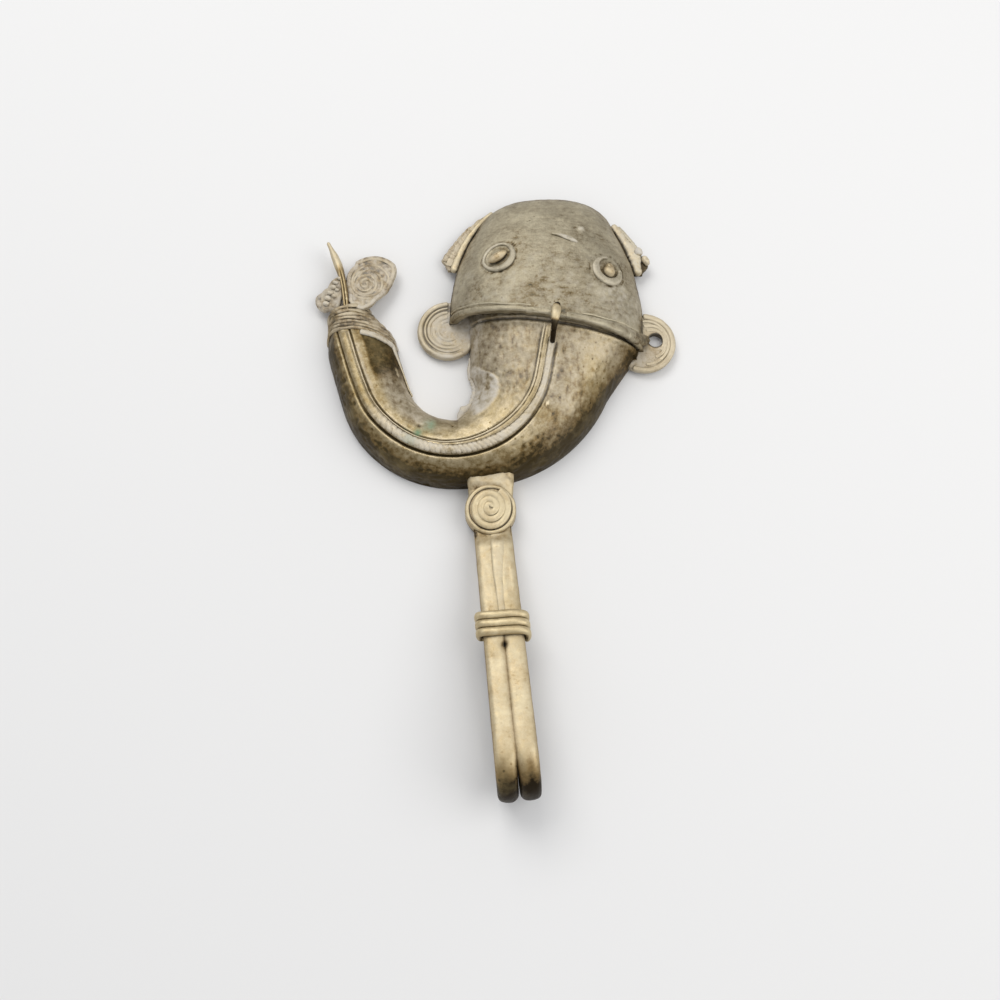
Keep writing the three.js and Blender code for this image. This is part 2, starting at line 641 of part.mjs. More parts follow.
function buildEyes() {
  const sit = SEAT_GAP + EYE_WIRE;
  const oval = new THREE.TorusGeometry(EYE_RING_RADIUS, EYE_WIRE, 6, 24).scale(EYE_STRETCH, 1, 1);
  const leftRing = addMesh(figure, "left_eye_ring", oval, GREY_BRASS);
  seatOnHead(leftRing, LEFT_EYE, sit, rad(EYE_SLANT));
  const bar = new THREE.CapsuleGeometry(EYE_BAR_RADIUS, EYE_BAR_LENGTH, 3, 8).rotateZ(Math.PI / 2);
  const leftBar = addMesh(figure, "left_eye_bar", bar, GREY_BRASS);
  seatOnHead(leftBar, LEFT_EYE, SEAT_GAP + EYE_BAR_RADIUS, rad(EYE_SLANT));

  const hoop = samples(LOOP_STEPS, (u) => {
    const angle = rad(EYE_OPENING_AT + EYE_OPENING / 2 + (360 - EYE_OPENING) * u);
    return new THREE.Vector3(EYE_RING_RADIUS * Math.cos(angle), EYE_RING_RADIUS * Math.sin(angle), 0);
  });
  const rightHoop = wire(hoop, EYE_WIRE, LOOP_STEPS);
  const rightRing = addMesh(figure, "right_eye_ring", rightHoop, GREY_BRASS);
  seatOnHead(rightRing, RIGHT_EYE, sit);
  const dome = samples(5, (v) => {
    const angle = (v * Math.PI) / 2;
    return new THREE.Vector2(PUPIL_RADIUS * Math.cos(angle), PUPIL_HEIGHT * Math.sin(angle));
  });
  dome[dome.length - 1].x = 0;
  const pupil = new THREE.LatheGeometry([new THREE.Vector2(0, 0), ...dome], 14).rotateX(Math.PI / 2);
  const rightPupil = addMesh(figure, "right_eye_pupil", closed(pupil), GREY_BRASS);
  seatOnHead(rightPupil, RIGHT_EYE, SEAT_GAP);

  const ridge = new THREE.CapsuleGeometry(BROW_RADIUS, BROW_LENGTH, 2, 6).rotateZ(Math.PI / 2);
  const brow = addMesh(figure, "brow_ridge", ridge, GREY_BRASS);
  seatOnHead(brow, BROW, SEAT_GAP + BROW_RADIUS, rad(BROW_SLANT));
}

// Barbels: a flat lobe under concentric threads, at each corner of the mouth

function buildBarbel(side, { drop, threads, sweep, gain, pierced }) {
  const outwards = side === "left" ? -1 : 1;
  const x = HEAD.x + outwards * HEAD_HALF_WIDTH;
  const centre = new THREE.Vector2(x, mouthLine(x) + drop);
  const outline = new THREE.Shape().absarc(0, 0, BARBEL_RADIUS, 0, 2 * Math.PI);
  if (pierced) {
    const hole = new THREE.Path().absarc(BARBEL_HOLE_OUT, 0, BARBEL_HOLE_RADIUS, 0, 2 * Math.PI);
    outline.holes.push(hole);
  }
  const disc = plate(outline, BARBEL_BASE, BARBEL_THICKNESS, 14).translate(centre.x, centre.y, 0);
  const lobe = cut(disc, grownHead, grownBody);
  addMesh(figure, `${side}_barbel_lobe`, lobe, DUSTY_BRASS);

  const height = BARBEL_BASE + BARBEL_THICKNESS + SEAT_GAP + BARBEL_THREAD;
  for (let k = 0; k < threads; k++) {
    const radius = BARBEL_RADIUS - BARBEL_MARGIN - BARBEL_THREAD - k * BARBEL_PITCH;
    const start = Math.PI / 2 + Math.asin((BARBEL_THREAD + SEAT_GAP) / radius);
    const arc = samples(16, (u) => {
      const angle = start + rad(sweep + gain * k) * u;
      return new THREE.Vector3(
        centre.x - outwards * radius * Math.cos(angle),
        centre.y + radius * Math.sin(angle),
        height,
      );
    });
    addMesh(figure, `${side}_barbel_thread_${k + 1}`, wire(arc, BARBEL_THREAD, 16), DUSTY_BRASS);
  }
}

// Side fins: a plate against the head's rim, with a smooth bar and ropes laid on it

function buildFin(side, { low, high, reach }, ropes) {
  const outwards = side === "left" ? -1 : 1;
  const spot = (ahead, off) => {
    const x = HEAD.x + outwards * (headEdge(ahead) + off);
    return new THREE.Vector2(x, HEAD.y + ahead);
  };
  const inside = -2 * WALL;
  const narrow = SEAT_GAP + 2 * FIN_BAR_RADIUS;
  const widestAt = low + reach * FIN_RISE;
  const shape = new THREE.Shape([
    spot(low, inside),
    spot(low, reach * FIN_FOOT),
    spot(widestAt, reach),
    spot(high, narrow),
    spot(high, inside),
  ]);
  addMesh(figure, `${side}_fin_plate`, cut(plate(shape, FIN_BASE, FIN_THICKNESS), grownHead), DUSTY_BRASS);

  const top = FIN_BASE + FIN_THICKNESS + SEAT_GAP;
  const layAlong = (name, off, from, to, radius, material) => {
    const points = samples(6, (u) => {
      const { x, y } = spot(THREE.MathUtils.lerp(from, to, u), off);
      return new THREE.Vector3(x, y, top + radius);
    });
    addMesh(figure, name, wire(points, radius, 8), material);
  };
  layAlong(`${side}_fin_bar`, SEAT_GAP + FIN_BAR_RADIUS, low, high, FIN_BAR_RADIUS, POLISHED_BRASS);
  for (let k = 0; k < ropes; k++) {
    const off = narrow + (SEAT_GAP + 2 * FIN_ROPE_RADIUS) * (k + 1) - FIN_ROPE_RADIUS;
    const from = THREE.MathUtils.mapLinear(off, reach * FIN_FOOT, reach, low, widestAt);
    const to = THREE.MathUtils.mapLinear(off, reach, narrow, widestAt, high);
    layAlong(`${side}_fin_rope_${k + 1}`, off, from, to, FIN_ROPE_RADIUS, DUSTY_BRASS);
  }
  return { spot, top };
}

function buildFins() {
  buildFin("left", LEFT_FIN, 2);
  const { spot, top } = buildFin("right", RIGHT_FIN, 1);
  const { low, reach } = RIGHT_FIN;
  const { x, y } = spot(low + reach * FIN_RISE + FIN_KNOB_RADIUS / 2, reach);
  const knob = new THREE.SphereGeometry(FIN_KNOB_RADIUS, 12, 8);
  addMesh(figure, "right_fin_knob", closed(knob), DUSTY_BRASS).position.set(x, y, top + FIN_KNOB_RADIUS);
}

// Tail

function buildTailWrap() {
  for (let k = 0; k < WRAP_THREADS; k++) {
    const s = WRAP_START + k * WRAP_PITCH;
    const points = samples(12, (u) => {
      const angle = THREE.MathUtils.lerp(0.06, Math.PI - 0.06, u);
      const sag = WRAP_SAG * Math.cos(angle) ** 2;
      return bodyPoint(s - sag, angle, SEAT_GAP + WRAP_RADIUS);
    });
    addMesh(figure, `tail_wrap_${k + 1}`, wire(points, WRAP_RADIUS, 14, 5), DUSTY_BRASS);
  }
}

function flatCoil(radius, turns, z) {
  return samples(Math.round(turns * LOOP_STEPS), (u) => {
    const angle = 2 * Math.PI * turns * u;
    const r = THREE.MathUtils.lerp(COIL_WIRE, radius, u);
    return new THREE.Vector3(r * Math.cos(angle), r * Math.sin(angle), z);
  });
}

function buildTail() {
  const end = crestFrame(BODY_LENGTH);
  const tail = new THREE.Group();
  tail.position.set(end.point.x, end.point.y, 0);
  tail.rotation.z = rad(TAIL_TURN);
  figure.add(tail);
  tail.updateMatrixWorld(true);
  const stump = grownBody.clone().applyMatrix4(tail.matrixWorld.clone().invert());

  const middle = (BLADE_FOOT + BLADE_TOP) / 2;
  const bladeRings = (grow) =>
    samples(8, (u) => {
      const wide = THREE.MathUtils.lerp(BLADE_WIDTH, BLADE_TIP_WIDTH, u ** 3) / 2 + grow;
      const tall = THREE.MathUtils.lerp(BLADE_TOP - BLADE_FOOT, BLADE_TIP_HEIGHT, u * u) / 2 + grow;
      const y = THREE.MathUtils.lerp(SEAT_GAP - grow, BLADE_LENGTH + grow, u);
      return rounded(8, wide, tall, BLADE_ROUNDNESS, (a, b) => [BLADE_ACROSS + a, y, middle + b]);
    });
  addMesh(tail, "tail_blade", loft(bladeRings(0)), POLISHED_BRASS);
  const bladeRoom = loft(bladeRings(SEAT_GAP));

  const discShape = new THREE.Shape().absarc(DISC_ACROSS, DISC_ALONG, DISC_RADIUS, 0, 2 * Math.PI);
  const disc = cut(plate(discShape, DISC_BASE, DISC_THICKNESS, 16), stump, bladeRoom);
  addMesh(tail, "tail_disc", disc, DUSTY_BRASS);
  const coil = flatCoil(DISC_COIL_RADIUS, DISC_COIL_TURNS, 0);
  leastCoilGap("tail_coil", coil, COIL_WIRE);
  const coilMesh = addMesh(tail, "tail_coil", wire(coil, COIL_WIRE, coil.length - 1), DUSTY_BRASS);
  coilMesh.position.set(DISC_ACROSS, DISC_ALONG, DISC_BASE + DISC_THICKNESS + SEAT_GAP + COIL_WIRE);

  const lobeShape = new THREE.Shape().absarc(0, 0, LOBE_RADIUS, 0, 2 * Math.PI);
  let lobe = solid(plate(lobeShape, -DISC_THICKNESS / 2, DISC_THICKNESS, 10));
  for (let k = 0; k < LOBE_BEADS; k++) {
    const angle = rad(LOBE_BEADS_FROM + LOBE_BEAD_STEP * k);
    const ring = LOBE_RADIUS - BEAD_RADIUS;
    const bead = new THREE.SphereGeometry(BEAD_RADIUS, 8, 6);
    bead.translate(ring * Math.cos(angle), ring * Math.sin(angle), DISC_THICKNESS / 2);
    lobe = lobe.add(solid(bead));
  }
  const placed = geometryOf(lobe).rotateY(-rad(LOBE_LEAN));
  placed.translate(LOBE_ACROSS, LOBE_ALONG, DISC_BASE + DISC_THICKNESS);
  addMesh(tail, "tail_lobe", cut(placed, stump, bladeRoom), DUSTY_BRASS);
}

// Shank and hook

const FOOT_HEIGHT = ROD_HEIGHT / 2 - FOOT_FLAT;
const BEND_AT = SHANK_REACH - HOOK_RADIUS - ROD_HEIGHT / 2;
const BEND_HEIGHT = FOOT_HEIGHT + HOOK_RADIUS;
const SHANK_RISE =
  Math.atan2(BEND_HEIGHT - ROD_ROOT_HEIGHT, BEND_AT) +
  Math.asin(HOOK_RADIUS / Math.hypot(BEND_AT, BEND_HEIGHT - ROD_ROOT_HEIGHT));

// Stations along a rod's centre line, from the boss, round the bend and back to the tip.
function rodStations() {
  const bendPoint = (slope) => ({
    away: BEND_AT - HOOK_RADIUS * Math.sin(slope),
    z: BEND_HEIGHT + HOOK_RADIUS * Math.cos(slope),
    slope,
    tip: 1,
  });
  const startHeight = ROD_ROOT_HEIGHT + ROD_START * Math.tan(SHANK_RISE);
  const start = { away: ROD_START, z: startHeight, slope: SHANK_RISE, tip: 1 };
  const bend = samples(12, (u) => bendPoint(THREE.MathUtils.lerp(SHANK_RISE, -Math.PI, u)));
  const back = (distance, tip) => ({ away: BEND_AT - distance, z: FOOT_HEIGHT, slope: -Math.PI, tip });
  const tips = samples(4, (u) => {
    const tip = Math.sqrt(1 - (1 - ROD_TIP_BLUNTNESS ** 2) * u * u);
    return back(RETURN_LENGTH - ROD_TIP * (1 - u), tip);
  });
  return [start, ...bend, back(RETURN_LENGTH / 2, 1), ...tips];
}

function rodLoft(side, grow) {
  return loft(
    rodStations().map(({ away, z, slope, tip }, i) => {
      const width = THREE.MathUtils.lerp(ROD_WIDTH, ROD_END_WIDTH, Math.min(1, away / BEND_AT));
      const middle = (side * (width + ROD_GAP)) / 2;
      const wide = (width / 2 + grow) * tip;
      const tall = (ROD_HEIGHT / 2 + grow) * tip;
      return rounded(12, wide, tall, ROD_ROUNDNESS, (a, b) => {
        const height = z + b * Math.cos(slope);
        return [middle + a, b * Math.sin(slope) - away, i > 1 ? Math.max(0, height) : height];
      });
    }),
  );
}

function alongShank(distance, across, lift) {
  const away = distance * Math.cos(SHANK_RISE) - lift * Math.sin(SHANK_RISE);
  const z = ROD_ROOT_HEIGHT + distance * Math.sin(SHANK_RISE) + lift * Math.cos(SHANK_RISE);
  return new THREE.Vector3(across, -away, z);
}

function buildShank() {
  const shank = new THREE.Group();
  const rimAngle = -Math.acos(BOSS_ACROSS / (CREST_RADIUS + TAIL_OUTER));
  const rimAt = NECK_RUN + CREST_RADIUS * (ARC_START - rimAngle);
  const rim = bodyPoint(rimAt, 0);
  shank.position.set(rim.x, rim.y - COLLAR_LENGTH, 0);
  figure.add(shank);
  shank.updateMatrixWorld(true);
  const bodyHere = grownBody.clone().applyMatrix4(shank.matrixWorld.clone().invert());

  const boss = new THREE.CylinderGeometry(BOSS_RADIUS, BOSS_RADIUS, BOSS_TOP - BOSS_BASE, 32);
  boss.rotateX(Math.PI / 2).translate(0, 0, (BOSS_TOP + BOSS_BASE) / 2);
  addMesh(shank, "boss", closed(boss), POLISHED_BRASS);
  const roomRadius = BOSS_RADIUS + SEAT_GAP;
  const bossRoom = new THREE.CylinderGeometry(roomRadius, roomRadius, 4 * BOSS_TOP, 32);
  bossRoom.rotateX(Math.PI / 2);
  const coil = flatCoil(BOSS_COIL_RADIUS, BOSS_COIL_TURNS, 0);
  leastCoilGap("boss_coil", coil, COIL_WIRE);
  const coilMesh = addMesh(shank, "boss_coil", wire(coil, COIL_WIRE, coil.length - 1), POLISHED_BRASS);
  coilMesh.position.z = BOSS_TOP + SEAT_GAP + COIL_WIRE;

  const half = COLLAR_WIDTH / 2;
  const far = COLLAR_LENGTH + 3 * WALL;
  const collarShape = new THREE.Shape()
    .moveTo(-half, 0)
    .lineTo(half, 0)
    .lineTo(half + COLLAR_FLARE, COLLAR_LENGTH)
    .lineTo(half + COLLAR_FLARE, far)
    .lineTo(-half - COLLAR_FLARE, far)
    .lineTo(-half - COLLAR_FLARE, COLLAR_LENGTH);
  const collarBase = BOSS_BASE + SEAT_GAP;
  const collar = plate(collarShape, collarBase, BOSS_TOP - SEAT_GAP - collarBase);
  addMesh(shank, "collar", cut(collar, bodyHere, bossRoom), POLISHED_BRASS);

  const arm = new THREE.Group();
  arm.rotation.z = rad(SHANK_TURN);
  shank.add(arm);
  addMesh(arm, "rod_left", cut(rodLoft(-1, 0), bossRoom), POLISHED_BRASS);
  addMesh(arm, "rod_right", cut(rodLoft(1, 0), bossRoom), POLISHED_BRASS);

  const wedgeEnd = BINDING_AT - BINDING_WIRE - SEAT_GAP;
  const wedge = samples(3, (u) => {
    const distance = THREE.MathUtils.lerp(BOSS_RADIUS / 2, wedgeEnd, u);
    const wide = THREE.MathUtils.lerp(WEDGE_WIDTH, WEDGE_END_WIDTH, u) / 2;
    const top = ROD_HEIGHT / 2;
    return [
      alongShank(distance, -wide, top + WEDGE_EDGE),
      alongShank(distance, 0, top + WEDGE_CROWN),
      alongShank(distance, wide, top + WEDGE_EDGE),
      alongShank(distance, 0, 0),
    ];
  });
  const wedgePiece = cut(loft(wedge), bossRoom, rodLoft(-1, SEAT_GAP), rodLoft(1, SEAT_GAP));
  addMesh(arm, "shank_wedge", wedgePiece, POLISHED_BRASS);

  const off = SEAT_GAP + BINDING_WIRE;
  const bindingPath = samples(Math.round(BINDING_TURNS * LOOP_STEPS), (u) => {
    const angle = rad(BINDING_START + 360 * BINDING_TURNS * u);
    const across = (ROD_END_WIDTH + ROD_GAP / 2 + off) * archSide(angle, BINDING_SQUARENESS);
    const up = (ROD_HEIGHT / 2 + off) * archSide(angle - Math.PI / 2, BINDING_SQUARENESS);
    return alongShank(BINDING_AT + BINDING_PITCH * BINDING_TURNS * u, across, up);
  });
  leastCoilGap("shank_binding", bindingPath, BINDING_WIRE);
  const binding = wire(bindingPath, BINDING_WIRE, bindingPath.length - 1);
  addMesh(arm, "shank_binding", binding, POLISHED_BRASS);
}

buildHead();
buildBody();
buildNeckFlash();
buildLips();
buildMouthRing();
buildCrestRope();
buildCrestStrips();
buildPanelThread();
buildEyes();
buildBarbel("left", LEFT_BARBEL);
buildBarbel("right", RIGHT_BARBEL);
buildFins();
buildTailWrap();
buildTail();
buildShank();

// The part's origin: the middle of the footprint, on the surface that the figure lies on.
const footprint = new THREE.Box3().setFromObject(figure, true);
const middle = footprint.getCenter(new THREE.Vector3());
figure.position.set(-middle.x, -middle.y, -footprint.min.z);
const part = new THREE.Group();
part.add(figure);

export default part;
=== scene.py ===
from math import acos, asin, atan2, cos, degrees, exp, pi, radians, sin, sqrt, tan

import bmesh
import bpy
from mathutils import Matrix, Vector, noise


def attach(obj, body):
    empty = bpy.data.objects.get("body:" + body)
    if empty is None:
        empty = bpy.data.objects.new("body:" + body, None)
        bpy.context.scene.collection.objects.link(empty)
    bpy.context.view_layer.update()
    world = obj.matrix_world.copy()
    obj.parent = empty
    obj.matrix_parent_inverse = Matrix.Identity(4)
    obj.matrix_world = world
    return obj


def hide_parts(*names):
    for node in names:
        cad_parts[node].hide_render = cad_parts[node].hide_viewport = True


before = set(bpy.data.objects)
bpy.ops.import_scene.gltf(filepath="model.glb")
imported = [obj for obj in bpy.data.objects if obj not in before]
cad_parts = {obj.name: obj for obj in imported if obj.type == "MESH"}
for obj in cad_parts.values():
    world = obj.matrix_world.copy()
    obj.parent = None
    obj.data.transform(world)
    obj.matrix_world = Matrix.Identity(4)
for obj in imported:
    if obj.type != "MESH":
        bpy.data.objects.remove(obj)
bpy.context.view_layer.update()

# Body. One hollow half tube of brass, curled round like a fish and left open at the back. It was
# built in wax over a clay core and cast in one pour with the head, so its skin is soft and a
# little lumpy, its outer flank is pitted, and the patina stays darkest where no hand rubs it.
# Shade is painted in low on its outer flank.
MM = 0.001
WELD = 1e-4
WALL = 2.5
CURL = Vector((-11.83, 34.109, 0))
CREST_RADIUS = 28.3
ARC_START = radians(-10)
ARC_SWEEP = radians(153)
NECK_RUN = 20
TAIL_RUN = 29.5
BODY_LENGTH = NECK_RUN + CREST_RADIUS * ARC_SWEEP + TAIL_RUN
TIP_RUN = 13
FLARE_LENGTH = 58
BODY_ROUNDNESS = 2.3
HEAD_HALF_WIDTH = 31
STRIPS_FROM, ROPE_FROM = 4.6, 8.8


def lerp(a, b, share):
    return a + (b - a) * share


def smooth(x, low, high):
    """0 below low and 1 above high, with an easy slope between."""
    t = min(max((x - low) / (high - low), 0), 1)
    return t * t * (3 - 2 * t)


def bell(x, middle, width):
    """1 at the middle, gone a few widths away."""
    return exp(-(((x - middle) / width) ** 2))


def side_share(angle, roundness):
    """How far across a rounded section lies at this angle, as a share of its half width."""
    c = cos(angle)
    return (1 if c > 0 else -1) * abs(c) ** (2 / roundness)


def drawn(rows, sides, lay, half=False):
    """Wax drawn out: a hoop extruded once for each row. lay(row, share) places its points."""
    bm = bmesh.new()
    share = bm.verts.layers.float.new("share")
    along = bm.verts.layers.float.new("along")
    first = bm.verts.new((1, 0, 0))
    turn = pi if half else 2 * pi
    bmesh.ops.spin(
        bm, geom=[first], cent=(0, 0, 0), axis=(0, -1, 0), angle=turn, steps=sides, use_merge=not half
    )
    for v in bm.verts:
        angle = atan2(v.co.z, v.co.x)
        v[share] = abs(angle) / turn if half else angle % turn / turn
    hoop, points = list(bm.edges), list(bm.verts)
    for i, row in enumerate(rows):
        if i:
            made = bmesh.ops.extrude_edge_only(bm, edges=hoop)["geom"]
            hoop = [g for g in made if isinstance(g, bmesh.types.BMEdge)]
            points = [g for g in made if isinstance(g, bmesh.types.BMVert)]
        for v in points:
            v[along] = row
            v.co = lay(row, v[share])
    return bm, share, along


def face_out(bm):
    """Closes seams and poles and turns the skin's faces outwards."""
    bmesh.ops.remove_doubles(bm, verts=bm.verts, dist=WELD)
    bmesh.ops.recalc_face_normals(bm, faces=bm.faces)
    top = max(bm.faces, key=lambda f: f.calc_center_median().z)
    if top.normal.z < 0:
        bmesh.ops.reverse_faces(bm, faces=bm.faces)
    bm.normal_update()


def cast(bm, name, finish, *nodes, wall=0):
    """Makes a piece of a finished wax, riding with the part and standing for its CAD nodes."""
    brass, slot = finish
    face_out(bm)
    if wall:
        made = bmesh.ops.extrude_face_region(bm, geom=bm.faces[:], use_keep_orig=True)["geom"]
        for v in made:
            if isinstance(v, bmesh.types.BMVert):
                v.co -= v.normal * wall
        bmesh.ops.recalc_face_normals(bm, faces=bm.faces)
    for v in bm.verts:
        v.co.z = max(v.co.z, 0)
    bmesh.ops.scale(bm, vec=(MM, MM, MM), verts=bm.verts)
    mesh = bpy.data.meshes.new(name)
    bm.to_mesh(mesh)
    bm.free()
    mesh.shade_smooth()
    mesh.materials.append(brass)
    piece = bpy.data.objects.new(name, mesh)
    bpy.context.scene.collection.objects.link(piece)
    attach(piece, "root")
    if nodes:
        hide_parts(*nodes)


def crest(s):
    """Crest point, direction to the tail and direction away from the curl, s along the crest."""
    turned = min(max((s - NECK_RUN) / CREST_RADIUS, 0), ARC_SWEEP)
    angle = ARC_START - turned
    out = Vector((cos(angle), sin(angle), 0))
    along = Vector((sin(angle), -cos(angle), 0))
    return CURL + out * CREST_RADIUS + along * (s - NECK_RUN - turned * CREST_RADIUS), along, out


def to_tip(s, value, tip):
    return lerp(value, tip, smooth(s, BODY_LENGTH - TIP_RUN, BODY_LENGTH))


def flare(s, power):
    return min(max(1 - s / FLARE_LENGTH, 0), 1) ** power


def outer_half(s):
    return to_tip(s, 8.6 + 20.4 * flare(s, 1.4), 5.4)


def inner_half(s):
    return to_tip(s, 13 + 15 * flare(s, 0.8), 8.2)


def body_height(s):
    return to_tip(s, 10.5 + 6.8 * min(max(1 - s / BODY_LENGTH, 0), 1) ** 1.5, 7.6)


def body_point(s, angle, grow=0.0):
    """A point on the body's skin: angle 0 is the outer rim and pi the inner one."""
    point, _, out = crest(s)
    half = (outer_half(s) if cos(angle) > 0 else inner_half(s)) + grow
    spot = point + out * half * side_share(angle, BODY_ROUNDNESS)
    spot.z = (body_height(s) + grow) * sin(angle)
    return spot


def on_body(s, across, lift=0.0):
    """The same skin by distance across the crest, positive towards the outer rim."""
    half = outer_half(s) if across > 0 else inner_half(s)
    share = min(abs(across) / half, 1) ** (BODY_ROUNDNESS / 2)
    return body_point(s, acos(share if across > 0 else -share), lift)


MOUTH = crest(3)[0]
MOUTH_SLANT = radians(-8.6)
HEAD = Vector((MOUTH.x - 2.3, MOUTH.y + 2.5, 0))


def mouth_line(x):
    return MOUTH.y + tan(MOUTH_SLANT) * (x - MOUTH.x)


def strip_spread(s):
    """The crest's strips lie side by side on the neck and close up towards the tail."""
    return 1 - smooth(s, 34, 78)


def rope_half(s):
    return 0.95 + 0.5 * smooth(s, 22, 50) - 0.1 * smooth(s, 84, 100)


def lane(s):
    """How far outside the crest the strips run: they drift outwards on the tail."""
    return 1.7 * smooth(s, 76, 108)


def edge_line(s):
    return -(rope_half(s) + 0.3 + 1.8 * strip_spread(s))


# Casting holes, as distance along the crest, across it, and radius
HOLES = (
    (101, 5.4, 0.8), (93, 4.6, 0.9), (89, 6.2, 0.7), (80, 5.6, 0.9), (97.5, 6.6, 0.6), (84, 4.2, 0.6),
    (60, -8.3, 0.6), (57, 9.5, 0.9), (49, 11, 1.1), (44, 14.5, 1.0), (39, 11.5, 0.7), (53, 13.5, 0.8),
    (36, 17, 0.9), (47.5, 8, 0.6), (66, 8.5, 0.7), (41.5, 18.3, 0.8), (73, -5.8, 0.8), (30, 6.3, 0.5),
)
# Spots of verdigris in the same way, and the colours laid on the brass: grime with painted shade, verdigris
# and chalk
VERDIGRIS = ((69.5, -7.4, 2.3), (72, -3.2, 1.3), (76, -1, 1.2), (64, 14, 1.6))
GRIME_AND_SHADE, GREEN, CHALK = (0.03, 0.02, 0.008, 1), (0.135, 0.23, 0.125, 1), (0.56, 0.52, 0.45, 1)


def aged_brass(
    name, slot, rubbed, worn, patina_and_shade, rough, streak=(420, 420, 420), depth=0.05, pits=0.35,
    tint=(0.36, 0.275, 0.13), even=0.0,
):
    """Old cast brass: blotched patina, rubbed edges, grime and painted shade in the hollows, scratches and
    grain.

    The patina_and_shade attribute says where it is darkest, from patina and painted shade (red),
    green (green), caked pale (blue). even is how much the blotches die down where it is dark. Gives
    the material and its slot.
    """
    mat = bpy.data.materials.new(name)
    mat.use_nodes = True
    tree = mat.node_tree
    shader = tree.nodes["Principled BSDF"]
    link = tree.links.new

    def plug(socket, value):
        if isinstance(value, bpy.types.NodeSocket):
            link(value, socket)
        else:
            socket.default_value = value

    def node(kind, **sockets):
        made = tree.nodes.new("ShaderNode" + kind)
        for key, value in sockets.items():
            plug(made.inputs[key.replace("_", " ")], value)
        return made

    def ranged(value, low, high, to_low=0.0, to_high=1.0):
        made = node("MapRange", Value=value, From_Min=low, From_Max=high, To_Min=to_low, To_Max=to_high)
        return made.outputs["Result"]

    def mottled(texture, most):
        """Nothing at a texture's low values and most at its high ones."""
        return ranged(texture, 0.34, 0.66, 0.0, most)

    def sums(operation, a, b):
        made = tree.nodes.new("ShaderNodeMath")
        made.operation = operation
        made.use_clamp = True
        plug(made.inputs[0], a)
        plug(made.inputs[1], b)
        return made.outputs[0]

    def laid(share, under, over):
        """One colour laid over another. A Mix node keeps its colour sockets at 6 and 7, and 2."""
        made = tree.nodes.new("ShaderNodeMix")
        made.data_type = "RGBA"
        for index, value in ((0, share), (6, under), (7, over)):
            plug(made.inputs[index], value)
        return made.outputs[2]

    place = node("TexCoord").outputs["Object"]
    blotches = node(
        "TexNoise", Vector=place, Scale=105.0, Detail=6.0, Roughness=0.62, Distortion=0.4
    ).outputs[0]
    clouds = node("TexNoise", Vector=place, Scale=70.0, Detail=5.0, Roughness=0.7).outputs[0]
    specks = node("TexNoise", Vector=place, Scale=620.0, Detail=5.0, Roughness=0.7).outputs[0]
    grain = node("TexNoise", Vector=place, Scale=1900.0, Detail=3.0, Roughness=0.6).outputs[0]
    drawn_out = node("Mapping", Vector=place, Scale=streak).outputs[0]
    scratches = node("TexNoise", Vector=drawn_out, Scale=1.0, Detail=5.0, Roughness=0.65).outputs[0]
    holes = node("TexVoronoi", Vector=place, Scale=520.0, Randomness=1.0).outputs["Distance"]
    paint = node("Attribute")
    paint.attribute_name = "patina_and_shade"
    zones = node("SeparateColor", Color=paint.outputs["Color"])
    dark, green, caked = (zones.outputs[i] for i in range(3))

    # The tone runs from patina at 0 to rubbed brass: first its mottling, calmer where it is dark
    tone = sums("ADD", 0.06, mottled(blotches, 0.3))
    for texture, most in ((specks, 0.22), (scratches, 0.14), (grain, 0.1)):
        tone = sums("ADD", tone, mottled(texture, most))
    calm = sums("MULTIPLY", dark, even)
    tone = sums("MULTIPLY", tone, sums("SUBTRACT", 1.0, calm))
    tone = sums("ADD", tone, sums("MULTIPLY", calm, 0.38))
    # Standing edges are rubbed, hollows and dark places aren't, and pits show black
    edges = node("NewGeometry").outputs["Pointiness"]
    tone = sums("ADD", tone, ranged(edges, 0.5, 0.62, 0.0, 0.55))
    tone = sums("SUBTRACT", tone, ranged(edges, 0.5, 0.42, 0.0, 0.6))
    tone = sums("SUBTRACT", tone, sums("MULTIPLY", dark, ranged(specks, 0.3, 0.7, 1.1, 0.75)))
    pitted = ranged(holes, 0.1, 0.24, 1.0, 0.0)
    pitted = sums("MULTIPLY", pitted, ranged(blotches, 0.5, 0.66, 0.0, pits))
    tone = sums("SUBTRACT", tone, pitted)

    ramp = node("ValToRGB", Fac=tone)
    stops = ramp.color_ramp.elements
    stops[0].position, stops[0].color = 0.02, (*patina_and_shade, 1)
    stops[1].position, stops[1].color = 0.68, (*rubbed, 1)
    stops.new(0.33).color = (*worn, 1)
    browned = (lerp(a, b, 0.4) * warm for a, b, warm in zip(patina_and_shade, worn, (1.15, 1.0, 0.75)))
    stops.new(0.17).color = (*browned, 1)

    # Clouds of tint, the darkest patina with painted shade, grime and painted shade in the corners, then
    # verdigris and caked chalk
    shut = node("AmbientOcclusion", Distance=1.6 * MM)
    shut.samples = 6
    # Painted shade: an occlusion mask darkens corners and gaps between pieces, in the grime colour
    grime_and_shade = sums("MULTIPLY", ranged(shut.outputs["AO"], 0.22, 0.7, 0.85, 0.0), 0.9)
    colour = laid(ranged(clouds, 0.47, 0.63, 0.0, 0.32), ramp.outputs[0], (*tint, 1))
    colour = laid(ranged(dark, 0.5, 1.0, 0.0, 0.85), colour, (*patina_and_shade, 1))
    colour = laid(grime_and_shade, colour, GRIME_AND_SHADE)
    verdigris = sums("MULTIPLY", green, ranged(specks, 0.4, 0.58, 0.45, 1.0))
    colour = laid(verdigris, colour, GREEN)
    residue = sums("MULTIPLY", caked, ranged(blotches, 0.36, 0.52, 0.35, 1.0))
    residue = sums("MULTIPLY", residue, ranged(specks, 0.34, 0.56, 0.4, 1.0))
    colour = laid(residue, colour, CHALK)
    link(colour, shader.inputs["Base Color"])

